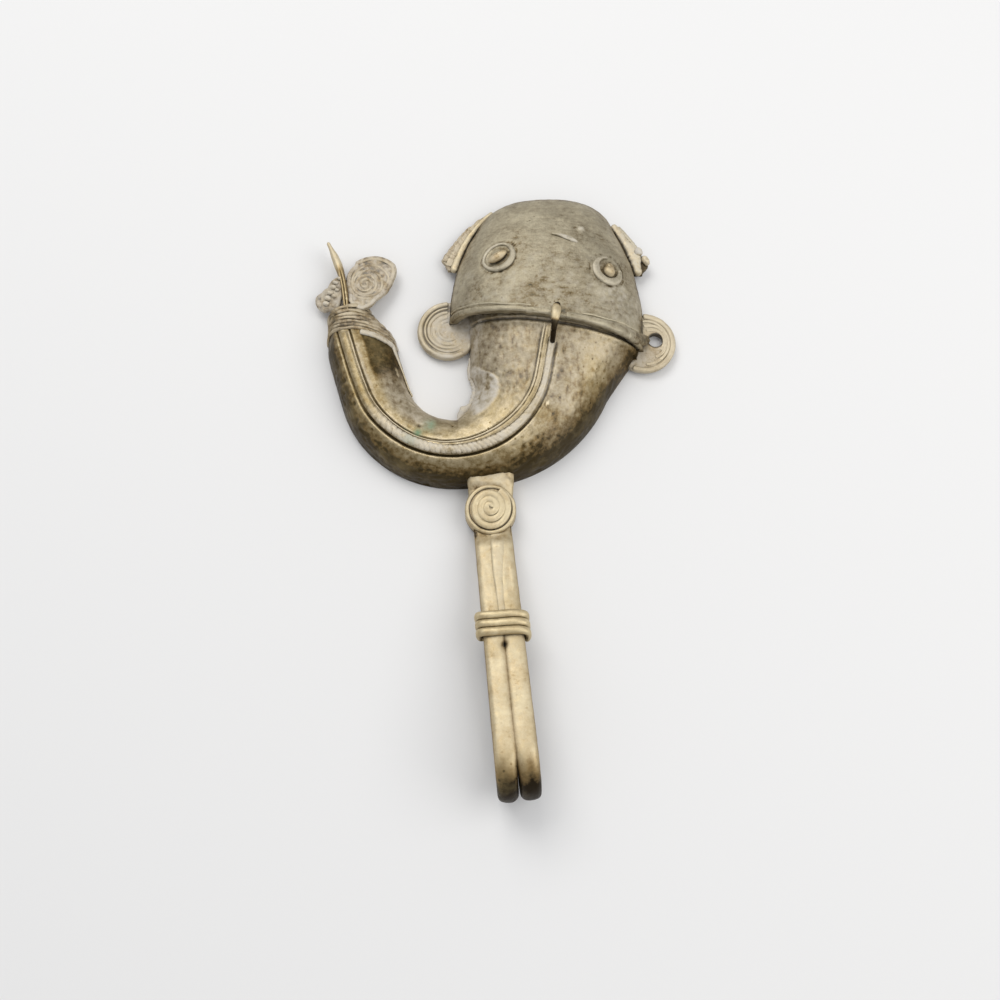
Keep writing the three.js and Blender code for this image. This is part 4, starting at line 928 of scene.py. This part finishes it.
LEFT_LOBE, RIGHT_LOBE = lobe_centre(-1, -1.9), lobe_centre(1, 3.1)
LEFT_ROOT, RIGHT_ROOT = 7.7, 9.0
EYELET_OFF, EYELET_RADIUS = Vector((3.6, 1.0, 0)), 2.3
EYELET = RIGHT_LOBE + EYELET_OFF


def plate(name, node, centre, rim, base, top, colour, hole=0.0, lean=None, bumps=0.1):
    """A flat lobe with soft edges. rim(angle) is its outline round the centre, where a hole may be.

    colour(spot) gives its patina and lean(spot) lifts the finished plate.
    """
    half, middle = (top - base) / 2, (top + base) / 2
    # How far out on the flat, how far round the soft edge, and the height in half thicknesses
    stations = [(i / 6, 0, -1) for i in range(7)]
    stations += [(1, sin(pi * i / 12), -cos(pi * i / 12)) for i in range(1, 12)]
    stations += [(1 - i / 22, 0, 1) for i in range(23)]
    if hole:
        stations += [(0, 0, 1 - i / 2) for i in range(1, 5)]

    def lay(row, share):
        out, bulge, high = stations[row]
        angle = 2 * pi * share
        reach = lerp(hole, rim(angle) - half, out) + half * bulge
        return centre + Vector((reach * cos(angle), reach * sin(angle), middle + half * high))

    bm, _, _ = drawn(range(len(stations)), 110, lay)
    paint = bm.verts.layers.float_color.new("patina_and_shade")
    for v in bm.verts:
        rough = noise.noise(v.co / 2.6) + 0.5 * noise.noise(v.co / 1.1)
        v.co.z += bumps * rough * smooth(v.co.z, base, top)
        v[paint] = (*colour(v.co), 1)
        v.co.z += lean(v.co) if lean else 0
    cast(bm, name, dusty_brass, node)


def left_rim(angle):
    return min(BARBEL_RADIUS, LEFT_ROOT / max(cos(angle), 0.1))


def right_rim(angle):
    """The lobe's outline as seen from the eyelet, which is off its centre."""
    ray = Vector((cos(angle), sin(angle), 0))
    off = EYELET_OFF.dot(ray)
    reach = sqrt(off * off + BARBEL_RADIUS**2 - EYELET_OFF.length_squared) - off
    return min(reach, RIGHT_ROOT / max(-cos(angle), 0.1))


def near_neck(spot):
    """Dark in the grooves on the outer side, and caked inside the coil, by the neck and below."""
    low = smooth(spot.y, LEFT_LOBE.y - 3, LEFT_LOBE.y - 8)
    away = (spot.xy - LEFT_LOBE.xy).length
    slant = LEFT_LOBE.x - 0.5 * LEFT_LOBE.y
    outside = smooth(spot.x - 0.5 * spot.y, slant + 2, slant - 4)
    dark = outside * (0.95 * bell(away, 8.0, 0.5) + 0.85 * bell(away, 6.75, 0.4))
    by_neck = smooth(spot.x, LEFT_LOBE.x - 2, LEFT_LOBE.x + 3)
    return dark, 0, max(0.9 * smooth(away, 7, 4.5), 0.9 * by_neck, 0.2 + 0.3 * low)


def by_the_hole(spot):
    """Painted shade inside the eyelet, dark here and there in the outer groove, and pale below."""
    off = (spot.xy - EYELET.xy).length
    away = (spot.xy - RIGHT_LOBE.xy).length
    worn = smooth(noise.noise(spot / 2.5), -0.25, 0.15) * smooth(spot.x, RIGHT_LOBE.x + 3, RIGHT_LOBE.x + 7)
    # Painted shade inside the eyelet, and dark worn patches in the outer groove
    dark = max(smooth(off, EYELET_RADIUS + 0.6, EYELET_RADIUS), 0.7 * worn * bell(away, 8.05, 0.3))
    return dark, 0, 0.2 + 0.4 * smooth(spot.y, RIGHT_LOBE.y, RIGHT_LOBE.y - 5)


plate("left_barbel_plate", "left_barbel_lobe", LEFT_LOBE, left_rim, BARBEL_BASE, BARBEL_TOP, near_neck,
      lean=lambda spot: 0.7 * smooth(spot.x, LEFT_LOBE.x + 2, LEFT_LOBE.x + 7))
plate("right_barbel_plate", "right_barbel_lobe", EYELET, right_rim, BARBEL_BASE, BARBEL_TOP, by_the_hole,
      hole=EYELET_RADIUS)


def coil_thread(side, number, centre, arc, from_angle, sweep, caked):
    """One arc of the coil on a barbel, from its top round the outside."""
    outwards = -1 if side == "left" else 1
    radius, wide, tall, over = arc

    def path(u):
        angle = radians(from_angle + sweep * u)
        reach = radius + 0.08 * sin(6 * u + radius)
        return centre + Vector((-outwards * reach * cos(angle), reach * sin(angle), BARBEL_TOP + over))

    def height(u):
        return tall * (0.9 + 0.55 * noise.noise(Vector((5 * u, radius, outwards))))

    thread(f"{side}_barbel_coil_{number}", f"{side}_barbel_thread_{number}", path, up=UP, wide=wide,
           tall=height, rows=90, sides=12, finish=dusty_brass, colour=lambda u: (0, 0, caked(u)))


# Radius, half width, half height and height over the plate of each arc
LEFT_ARCS = (
    (8.95, 0.8, 0.65, 0.02), (7.4, 0.36, 0.4, 0), (6.1, 0.55, 0.3, 0), (4.6, 0.6, 0.16, 0),
    (3.2, 0.5, 0.14, 0),
)
RIGHT_ARCS = ((9.05, 0.95, 0.6, 0.02), (7.25, 0.55, 0.34, 0), (5.6, 0.6, 0.24, 0), (4.0, 0.6, 0.16, 0))
# How far each right arc is drawn in towards the eyelet
DRAWN_IN = (0, 0.16, 0.42, 0.68)
for k, arc in enumerate(LEFT_ARCS):
    coil_thread("left", k + 1, LEFT_LOBE, arc, 94, 205 + 9 * k,
                lambda u, k=k: max(0.22 * k, 0.3 + 0.6 * smooth(u, 0.6, 0.9)))
for k, arc in enumerate(RIGHT_ARCS):
    coil_thread("right", k + 1, RIGHT_LOBE + EYELET_OFF * DRAWN_IN[k], arc, 92 - 8 * k, 200 - 14 * k,
                lambda u: 0.2)

# Side fins. A plate set against each side of the head, with a smooth strip along the head and
# beaded ropes of wax outside it. The right plate is painted dark for the shade in its hollow, and
# has a lobe and a caked bead on it.
FIN_BASE, FIN_TOP = 2, 3.8
FIN_ROOT, FIN_TIP = -1.4, 2.1
FIN_ROWS = 110
# Across, ahead, radius, length and turn of the right fin's end lobe and of the bead beside it
FIN_LUMPS = ((4.7, 24.3, 1.1, 1.7, 28), (3.5, 27.2, 1.5, 1.0, 0))
CAKED_AHEAD = 26.2


def fin_spot(outwards, ahead, off, z=0.0):
    return Vector((HEAD.x + outwards * (head_edge(ahead) + off), HEAD.y + ahead, z))


def fin_reach(low, high, reach, ahead):
    widest = low + 0.7 * reach
    if ahead < widest:
        return lerp(reach * 0.5, reach, smooth(ahead, low, widest))
    return lerp(reach, FIN_TIP, (ahead - widest) / (high - widest))


def fin(side, node, low, high, reach, beads, colour):
    """A fin's plate between two distances ahead, its outer edge scalloped in so many beads."""
    outwards = -1 if side == "left" else 1
    stations = rounded_run(FIN_ROWS)

    def lay(i, share):
        u, size, past = stations[i]
        ahead = lerp(low, high, u)
        end = (past > 0) - (past < 0)
        angle = 2 * pi * share
        outer = fin_reach(low, high, reach, ahead)
        outer += 0.38 * abs(sin(beads * pi * (ahead - low) / (high - low))) - 0.1
        half = (outer - FIN_ROOT) / 2 * side_share(angle, 4) * lerp(0.9, 1, size)
        z = (FIN_TOP + FIN_BASE) / 2 + (FIN_TOP - FIN_BASE) / 2 * side_share(angle - pi / 2, 4) * size
        return fin_spot(outwards, ahead + end * (1 - size) * 0.4, (outer + FIN_ROOT) / 2 + half, z)

    bm, _, _ = drawn(range(len(stations)), 48, lay)
    paint = bm.verts.layers.float_color.new("patina_and_shade")
    for v in bm.verts:
        v.co.z += 0.14 * noise.noise(v.co / 1.3)
        v[paint] = (*colour, 1)
    cast(bm, f"{side}_fin_web", dusty_brass, node)


def fin_strand(name, node, low, high, off, wide, tall, finish, caked, dark=0, beads=0):
    """A strand laid along the fin. off, wide and tall are pairs, for its two ends, or triples."""
    outwards = -1 if name.startswith("left") else 1

    def between(ends, u):
        return lerp(ends[0], ends[-1], u) + (ends[1] * bell(u, 0.36, 0.2) if len(ends) == 3 else 0)

    def path(u):
        return fin_spot(outwards, lerp(low, high, u), between(off, u), FIN_TOP)

    def beaded(u, angle):
        along_beads = beads * u + 0.7 * noise.noise(Vector((5 * u, off[0], 3))) + 0.1 * cos(angle)
        cut = 0.2 * bell(along_beads - round(along_beads), 0, 0.13) if beads else 0
        return boxy(angle, 3) * (1 - cut + 0.16 * noise.noise(Vector((16 * u, cos(angle), off[0]))))

    thread(name, node, path, up=UP, wide=lambda u: between(wide, u), tall=lambda u: between(tall, u),
           rows=20 * max(beads, 3), sides=16, finish=finish, shape=beaded, colour=(dark, 0, caked))


fin("left", "left_fin_plate", 21.2, 41, reach=6.1, beads=9, colour=(0.3, 0, 0.3))
fin_strand("left_fin_smooth_strip", "left_fin_bar", 21.3, 41.2, off=(0.9, 0.7), wide=(1.25, 0.75),
           tall=(1.0, 0.85), finish=polished_brass, caked=0.3)
fin_strand("left_fin_beads_inner", "left_fin_rope_1", 22.9, 39, off=(3.1, 2.0), wide=(1.25, 0.6),
           tall=(0.45, 0.4), finish=dusty_brass, caked=0.3, dark=0.1, beads=9)
fin_strand("left_fin_beads_outer", "left_fin_rope_2", 24.6, 36.5, off=(5.0, 3.0), wide=(0.85, 0.5),
           tall=(0.4, 0.3), finish=dusty_brass, caked=0.3, dark=0.25, beads=7)
# The right plate is painted dark as the shade in its hollow
fin("right", "right_fin_plate", 19.8, 36.5, reach=5.0, beads=3, colour=(0.8, 0, 0))
fin_strand("right_fin_smooth_strip", "right_fin_bar", 20.5, 36.6, off=(0.95, 0.75, 1.2),
           wide=(1.3, 0.85, 1.1), tall=(1.3, 0.1, 0.85), finish=polished_brass, caked=0.6)
fin_strand("right_fin_grey_strand", "right_fin_rope_1", 28.4, 36.2, off=(3.7, 2.5), wide=(0.7, 0.6),
           tall=(0.6, 0.5), finish=grey_brass, caked=0.35)


def lump(bm, place, size, stretch, turn, fineness):
    """A small ball of wax, stretched, turned and set in place."""
    made = bmesh.ops.create_icosphere(bm, subdivisions=fineness, radius=size)["verts"]
    bmesh.ops.scale(bm, vec=stretch, verts=made)
    bmesh.ops.rotate(bm, cent=(0, 0, 0), matrix=Matrix.Rotation(radians(turn), 3, "Z"), verts=made)
    bmesh.ops.translate(bm, vec=place, verts=made)


bm = bmesh.new()
for across, ahead, size, long, turn in FIN_LUMPS:
    lump(bm, fin_spot(1, ahead, across, FIN_TOP + 0.6), size, (1, long, 0.9), turn, fineness=4)
paint = bm.verts.layers.float_color.new("patina_and_shade")
for v in bm.verts:
    v.co += Vector((0.2, 0.2, 0.2)) * noise.noise(v.co / 1.1)
    v[paint] = (0, 0, 1 if v.co.y > HEAD.y + CAKED_AHEAD else 0.3, 1)
cast(bm, "right_fin_lobes", dusty_brass, "right_fin_knob")

# Tail binding. Seven fine threads laid over the body's end like a whipping. They dip towards the
# rims, and grow thicker and paler at their ends on the inner side.
WRAPS = 7
WRAP_FIRST, WRAP_LAST = 114.0, BODY_LENGTH + 0.8
WRAP_INSET = 0.05


def tail_wrap(k):
    def spot(u):
        angle = lerp(WRAP_INSET, pi - WRAP_INSET, u)
        wander = 0.3 * noise.noise(Vector((4 * u, 2.7 * k, 0.5)))
        first = WRAP_FIRST + whipping(angle)
        last = WRAP_LAST - 1.4 * cos(angle) ** 2
        return lerp(first, last, k / (WRAPS - 1)) + wander, angle

    def colour(u):
        dark = 0.24 + 0.3 * smooth(noise.noise(Vector((5 * u, k, 8))), -0.3, 0.4)
        return dark, 0, 0.18 + 0.7 * smooth(u, 0.9, 0.97)

    thread(
        f"tail_binding_{k + 1}", f"tail_wrap_{k + 1}", lambda u: body_point(*spot(u), 0.1),
        up=lambda u: body_up(*spot(u)),
        wide=lambda u: 0.62 + 0.3 * smooth(u, 0.6, 0.9) + 0.1 * sin(23 * u + 2 * k),
        tall=0.45, rows=80, sides=12, finish=dusty_brass, colour=colour,
    )


for k in range(WRAPS):
    tail_wrap(k)

# Tail fins. A coiled disc on one side, a tilted lobe edged with granules on the other, and an
# upright blade between them, whose tip is rubbed bright.
TAIL = Matrix.Translation(Vector((-47.518, 54.046, 0))) @ Matrix.Rotation(radians(17), 4, "Z")
DISC, DISC_BASE, DISC_TOP = Vector((-38.8, 65.4, 0)), 3.2, 4.95
LOBE, LOBE_BASE, LOBE_TOP = Vector((-51.9, 59.3, 0)), 2.3, 4.2
COIL, COIL_TURNS, COIL_REACH = Vector((-40.9, 64.2, 0)), 5.8, 8.2
# Outlines round their centres, as angle and radius
DISC_RIM = (
    (-156, 8.6), (-137, 9.8), (-126, 11.3), (-105, 11.7), (-89, 9.7), (-77, 7.7), (-55, 6.5), (-23, 6.3),
    (3, 7.0), (29, 8.85), (40, 9.4), (59, 9.2), (82, 9.0), (111, 8.8), (129, 8.9), (135, 8.0), (153, 8.3),
    (204, 8.6),
)
LOBE_RIM = (
    (-116, 4.9), (-96, 4.2), (-61, 5.0), (-20, 4.0), (30, 4.6), (62, 7.6), (76, 6.6), (104, 3.6), (144, 3.6),
    (170, 4.9), (205, 5.0), (244, 4.9),
)
# Place and size of each granule, from the blade down to the lobe's foot
GRANULES = (
    (-48.9, 65.1, 0.8), (-50.1, 63.7, 0.85), (-50.7, 62.2, 0.9), (-51.8, 60.6, 1.0), (-52.5, 58.95, 1.05),
    (-53.1, 57.3, 0.95), (-49.5, 61.3, 0.7), (-50.5, 59.4, 0.75),
)


def traced(points, angle):
    """Radius of a drawn outline at an angle."""
    turn = (degrees(angle) - points[0][0]) % 360 + points[0][0]
    for (low, near_radius), (high, far_radius) in zip(points, points[1:]):
        if turn <= high:
            return lerp(near_radius, far_radius, (turn - low) / (high - low))
    return points[-1][1]


def dusty(spot):
    return 0.24 + 0.3 * noise.noise(spot / 1.2), 0, 0.5 + 0.4 * noise.noise(spot / 2.2)


def disc_slope(spot):
    """The disc is bent up where it meets the body."""
    return 1.6 * smooth(spot.y, 61.5, 57)


def lobe_slope(spot):
    """The lobe rises from its outer edge to the blade."""
    return 2.6 * smooth(spot.x + 0.45 * (spot.y - LOBE.y), -57.5, -46)


def disc_coil(u):
    """A fine thread coiled from the middle out, its last turn along the disc's rim."""
    angle = radians(132) - 2 * pi * COIL_TURNS * (1 - u)
    turned = radians(264) - angle
    rim = traced(DISC_RIM, turned) - 0.9
    middle = COIL.lerp(DISC, smooth(u, 0.3, 0.95))
    reach = lerp(min(lerp(0.5, COIL_REACH, u), rim - 0.4), rim, smooth(u, 0.72, 0.95))
    spot = middle + Vector((reach * cos(turned), reach * sin(turned), 0))
    spot.z = 4.98 + disc_slope(spot)
    return spot


plate("tail_disc_plate", "tail_disc", DISC, lambda angle: traced(DISC_RIM, angle), DISC_BASE, DISC_TOP,
      dusty, lean=disc_slope, bumps=0.25)
thread(
    "tail_disc_coil", "tail_coil", disc_coil, up=UP,
    wide=lambda u: 0.4 + 0.25 * smooth(u, 0.8, 0.95),
    tall=lambda u: 0.15 + 0.12 * noise.noise(Vector((22 * u, 3, 1))) + 0.1 * smooth(u, 0.85, 0.95),
    rows=420, sides=12, finish=dusty_brass,
    colour=lambda u: (0.1 + 0.2 * sin(40 * u) ** 2, 0, 0.4 + 0.35 * smooth(u, 0.86, 0.95)),
)
plate("tail_lobe_plate", "tail_lobe", LOBE, lambda angle: traced(LOBE_RIM, angle), LOBE_BASE, LOBE_TOP,
      dusty, lean=lobe_slope, bumps=0.15)

bm = bmesh.new()
for x, y, size in GRANULES:
    spot = Vector((x, y, 4.35))
    spot.z += lobe_slope(spot)
    lump(bm, spot, size, (1.15, 0.8, 0.85), -14, fineness=3)
paint = bm.verts.layers.float_color.new("patina_and_shade")
for v in bm.verts:
    v.co += Vector((0.12, 0.12, 0.12)) * noise.noise(v.co / 0.9)
    v[paint] = (0.15 * smooth(v.co.y, 60, 63), 0, 0.75, 1)
cast(bm, "tail_granules", dusty_brass)


def blade_path(u):
    return TAIL @ Vector((1.35 + 1.45 * sin(2.9 * u), lerp(0.6, 24.2, u), lerp(5.2, 5.4, u)))


def blade_groove(u, angle):
    return boxy(angle, 2.6) * (1 - 0.18 * bell(angle, pi / 2, 0.3) * smooth(u, 0.62, 0.45))


thread(
    "tail_upright_blade", "tail_blade", blade_path, up=UP,
    wide=lambda u: 0.98 + 0.35 * bell(u, 0.68, 0.16) - 0.4 * smooth(u, 0.8, 1),
    tall=lambda u: lerp(2.9, 1.0, u * u),
    rows=90, sides=28, finish=polished_brass, shape=blade_groove,
    colour=lambda u: (0.3 * smooth(u, 0.66, 0.55), 0, 0.3 * smooth(u, 0.55, 0.7)),
)

# Collar and boss. The doubled shank springs from under the curl. A block of wax joins it to the
# body's rim, and a round boss with a coiled thread on top hides the join.
BOSS = Vector((-0.727, -11.064, 0))
BOSS_RADIUS, BOSS_BASE, BOSS_TOP = 7.7, 1.4, 7.9
BOSS_TURNS, BOSS_REACH = 3.1, 6.35
COLLAR_ROWS, COLLAR_BASE = 40, 1.7
SOFT_ROWS = 3


def lay_collar(row, share):
    """A block from under the boss to the body's rim, soft over its first and last rows."""
    angle = 2 * pi * share
    away = lerp(1, 12.6, row / COLLAR_ROWS)
    half = lerp(6.7, 7.0, smooth(away, 4, 10))
    size = sin(pi / 2 * min(1, (row + 0.001) / SOFT_ROWS, (COLLAR_ROWS + 0.001 - row) / SOFT_ROWS))
    x = half * side_share(angle, 5) * lerp(0.8, 1, size)
    top = lerp(6.8, 8.0 - 0.9 * smooth(x, 1, 7), smooth(away, 5.8, 8.8))
    up = (top - COLLAR_BASE) / 2 * side_share(angle - pi / 2, 5) * size
    return BOSS + Vector((x, away, (COLLAR_BASE + top) / 2 + up))


bm, _, _ = drawn(range(COLLAR_ROWS + 1), 64, lay_collar)
paint = bm.verts.layers.float_color.new("patina_and_shade")
for v in bm.verts:
    v.co += Vector((0.15, 0.1, 0.3)) * noise.noise(v.co / 1.8) * smooth(v.co.z, 2, 5)
    v[paint] = (0.3 * smooth(v.co.y, -1.0, 1.5), 0, 0.3 * bell(v.co.z, 8, 1.5), 1)
cast(bm, "shank_collar", polished_brass, "collar")

# Radius and height of the boss's profile, from under its middle round its rim to its top
profile = [(0, BOSS_BASE), (BOSS_RADIUS - 0.8, BOSS_BASE), (BOSS_RADIUS - 0.2, BOSS_BASE + 0.5)]
profile += [(BOSS_RADIUS, lerp(BOSS_BASE + 1.2, BOSS_TOP - 1.6, i / 6)) for i in range(7)]
for i in range(1, 10):
    angle = pi * i / 10
    profile.append((BOSS_RADIUS - 0.7 + 0.7 * cos(angle), BOSS_TOP - 1.0 + 0.7 * sin(angle)))
for i in range(25):
    profile.append((lerp(BOSS_RADIUS - 1.5, 0, i / 24), BOSS_TOP - 0.75 + 0.45 * smooth(i, 0, 8)))
bm = bmesh.new()
points = [bm.verts.new((r, 0, z)) for r, z in profile]
edges = [bm.edges.new(pair) for pair in zip(points, points[1:])]
bmesh.ops.spin(
    bm, geom=points + edges, cent=(0, 0, 0), axis=(0, 0, 1), angle=2 * pi, steps=120, use_merge=True
)
bmesh.ops.translate(bm, vec=BOSS, verts=bm.verts)
paint = bm.verts.layers.float_color.new("patina_and_shade")
for v in bm.verts:
    v.co += Vector((0.12, 0.12, 0.14)) * noise.noise(v.co / 3)
    v[paint] = (max(0.6 * smooth(v.co.z, 4.5, 2), 0.3 * bell(v.co.z, 6.7, 0.5)), 0, 0.15, 1)
cast(bm, "shank_boss", polished_brass, "boss")


def boss_path(u):
    angle = 0.4 + 2 * pi * BOSS_TURNS * u
    reach = lerp(0.3, BOSS_REACH, u)
    drawn_up = 0.7 * (1 - 0.7 * u)
    return BOSS + Vector((0.9 * reach * cos(angle) - 0.2, reach * sin(angle) + drawn_up, BOSS_TOP - 0.22))


thread(
    "boss_coiled_thread", "boss_coil", boss_path, up=UP,
    wide=lambda u: 1.0 + 0.05 * sin(40 * u),
    tall=lambda u: 0.34 + 0.06 * sin(17 * u),
    rows=300, sides=16, finish=polished_brass, colour=(0, 0, 0.15),
)

# Shank. Two rods of wax side by side rise from the boss, bend over at the far end and come back
# underneath as a belt hook. A strip is let in between them above the wire that binds them.
SHANK = Matrix.Translation(BOSS) @ Matrix.Rotation(radians(5.7), 4, "Z")
SHANK_LENGTH, ROD_START, ROD_ROOT = 84.8, 5.5, 4.4
ROD_HEIGHT, ROD_GAP, HOOK_RADIUS, RETURN_LENGTH, TIP_LENGTH = 5, 0.4, 8.9, 40, 6
FOOT = ROD_HEIGHT / 2 - 0.35
BEND_AT = SHANK_LENGTH - HOOK_RADIUS - ROD_HEIGHT / 2
BEND_Z = FOOT + HOOK_RADIUS
RISE_RUN = sqrt(BEND_AT**2 + (BEND_Z - ROD_ROOT) ** 2)
RISE = atan2(BEND_Z - ROD_ROOT, BEND_AT) + asin(HOOK_RADIUS / RISE_RUN)
BINDING_AT, BINDING_TURNS, BINDING_PITCH, BINDING_START = 33.9, 2.6, 2.5, 189
WIRE_WIDE, WIRE_TALL = 1.25, 0.95
RISE_ROWS, BEND_ROWS, RETURN_ROWS, TIP_ROWS = 110, 48, 60, 16


def rod_rows():
    """Distance from the boss, height, slope and size of the rod's sections, round to its tip."""
    top = BEND_AT - HOOK_RADIUS * sin(RISE), BEND_Z + HOOK_RADIUS * cos(RISE)
    back = RETURN_LENGTH - TIP_LENGTH
    rows = []
    for i in range(RISE_ROWS):
        away = lerp(ROD_START, top[0], i / RISE_ROWS)
        rows.append((away, ROD_ROOT + away * (top[1] - ROD_ROOT) / top[0], RISE, 1))
    for i in range(BEND_ROWS + 1):
        slope = lerp(RISE, -pi, i / BEND_ROWS)
        rows.append((BEND_AT - HOOK_RADIUS * sin(slope), BEND_Z + HOOK_RADIUS * cos(slope), slope, 1))
    for i in range(1, RETURN_ROWS + 1):
        rows.append((BEND_AT - back * i / RETURN_ROWS, FOOT, -pi, 1))
    for i in range(1, TIP_ROWS + 1):
        size = sqrt(max(0, 1 - (i / TIP_ROWS) ** 2.2))
        rows.append((BEND_AT - back - TIP_LENGTH * i / TIP_ROWS, FOOT, -pi, size))
    return rows


ROD_ROWS = rod_rows()


def rod(side, name, node):
    """One rod, pressed against the other as far as the bend and free of it beyond."""

    def lay(i, share):
        away, z, slope, tip = ROD_ROWS[i]
        angle = 2 * pi * share
        width = lerp(5.4, 5.9, min(1, away / BEND_AT))
        straight = smooth(i, 124, 106)
        square = lerp(2.4, 2.8, straight)
        # The rods overlap by the join, apart from a notch just below the wire
        notch = 0.9 * bell(away / cos(RISE), BINDING_AT + 9.3, 1.3) * straight
        join = 1.0 * straight - notch
        half = width / 2 + join / 2
        middle = side * ((width + ROD_GAP) / 2 - join / 2)
        over = half * side_share(angle, square) * tip
        up = ROD_HEIGHT / 2 * side_share(angle - pi / 2, square) * tip
        # Uneven faces, a shallow hammered channel, and the root sunk under the boss
        hammered = noise.noise(Vector((away / 9, side, 0)))
        up += 0.16 * noise.noise(Vector((over / 2, away / 14, up / 2 + 7 * side)))
        up -= 0.2 * bell(over, side * 0.6, 0.7) * smooth(up, 1, 2) * straight * smooth(hammered, -0.2, 0.4)
        dip = 1.7 * smooth(away, 12.5, 7.2) * smooth(up, 0, 2) * straight
        spot = Vector((middle + over, up * sin(slope) - away, z + up * cos(slope) - dip))
        spot.z = max(spot.z, 0)
        return SHANK @ spot

    bm, share, along = drawn(range(len(ROD_ROWS)), 40, lay)
    rims = [e for e in bm.edges if e.is_boundary]
    bmesh.ops.holes_fill(bm, edges=rims)
    bmesh.ops.recalc_face_normals(bm, faces=bm.faces)
    paint = bm.verts.layers.float_color.new("patina_and_shade")
    for v in bm.verts:
        i, edge = round(v[along]), side * cos(2 * pi * v[share])
        v.co += v.normal * 0.07 * noise.noise(v.co / 2.4)
        # Painted shade: golden brown where the bend begins, then dark, with darker sides, lighter on the
        # return
        bend_shade = smooth(i + 3 * noise.noise(v.co / 4), 108, 117)
        dark = 0.24 * bend_shade + 0.76 * smooth(i + 3 * noise.noise(v.co / 5), 116, 133)
        outer, inner = 0.28 * smooth(edge, 0.75, 0.99), 0.3 * smooth(-edge, 0.3, 0.85)
        dark = max(dark, outer, inner * smooth(i, 42, 60))
        v[paint] = (dark * lerp(1, 0.5, smooth(i, 158, 170)), 0, 0.15 * (1 - bend_shade), 1)
    cast(bm, name, polished_brass, node)


rod(-1, "shank_left_rod", "rod_left")
rod(1, "shank_right_rod", "rod_right")


def along_shank(distance, across, lift):
    away = distance * cos(RISE) - lift * sin(RISE)
    return SHANK @ Vector((across, -away, ROD_ROOT + distance * sin(RISE) + lift * cos(RISE)))


def strip_path(u):
    """The strip lies a little to one side at the boss, where its root is sunk."""
    across = lerp(1.15, 0.12, smooth(u, 0, 0.6))
    return along_shank(lerp(8.3, 34, u), across, lerp(2.0, 1.6, u) - 1.6 * smooth(u, 0.16, 0))


def binding_flat(u):
    """Round the rods: distances along, across and up."""
    angle = radians(BINDING_START - 360 * BINDING_TURNS * u)
    across = (6.1 + 0.85) * side_share(angle, 4)
    up = (ROD_HEIGHT / 2 + 0.75) * side_share(angle - pi / 2, 4)
    return BINDING_AT + BINDING_PITCH * BINDING_TURNS * u, across, up


def binding_up(u):
    along, across, up = binding_flat(u)
    return (along_shank(along, across, up) - along_shank(along, 0, 0)).normalized()


thread(
    "shank_let_in_strip", "shank_wedge", strip_path,
    up=(along_shank(10, 0, 1) - along_shank(10, 0, 0)).normalized(),
    wide=lambda u: lerp(2.2, 1.2, smooth(u, 0, 0.9)),
    tall=lambda u: lerp(0.7, 0.95, smooth(u, 0, 0.25)),
    rows=70, sides=24, finish=polished_brass, shape=pressed(3.5), colour=(0, 0, 0.25),
)
thread(
    "shank_wire_binding", "shank_binding", lambda u: along_shank(*binding_flat(u)), up=binding_up,
    wide=WIRE_WIDE, tall=WIRE_TALL, rows=260, sides=18, finish=polished_brass,
)

# Table, light and camera. A pale table top under two broad soft lamps, one from the upper left
# and one from the right, in a pale room. The camera looks down from the hook's side.
bpy.ops.mesh.primitive_plane_add(size=6)
table = bpy.context.object
table.name = "table_top"
paper = bpy.data.materials.new("pale table")
paper.use_nodes = True
paper.node_tree.nodes["Principled BSDF"].inputs["Base Color"].default_value = (0.72, 0.71, 0.69, 1)
paper.node_tree.nodes["Principled BSDF"].inputs["Roughness"].default_value = 0.85
table.data.materials.append(paper)

world = bpy.data.worlds.new("room")
world.use_nodes = True
world.node_tree.nodes["Background"].inputs["Color"].default_value = (0.93, 0.95, 1, 1)
world.node_tree.nodes["Background"].inputs["Strength"].default_value = 0.62
bpy.context.scene.world = world


def lamp(name, place, size, power):
    light = bpy.data.lights.new(name, "AREA")
    light.size = size
    light.energy = power
    holder = bpy.data.objects.new(name, light)
    holder.location = place
    holder.rotation_euler = (-Vector(place)).to_track_quat("-Z", "Y").to_euler()
    bpy.context.scene.collection.objects.link(holder)


lamp("window", (-0.28, 0.55, 0.8), size=0.6, power=4.7)
lamp("fill", (0.62, -0.05, 0.75), size=0.8, power=4.5)

camera = bpy.data.objects.new("camera", bpy.data.cameras.new("camera"))
camera.data.lens = 40
camera.data.clip_start = 0.01
camera.location = (0.0021, -0.09986, 0.32683)
camera.rotation_euler = (radians(16), 0, 0)
bpy.context.scene.collection.objects.link(camera)
bpy.context.scene.camera = camera
bpy.context.scene.view_settings.view_transform = "Standard"
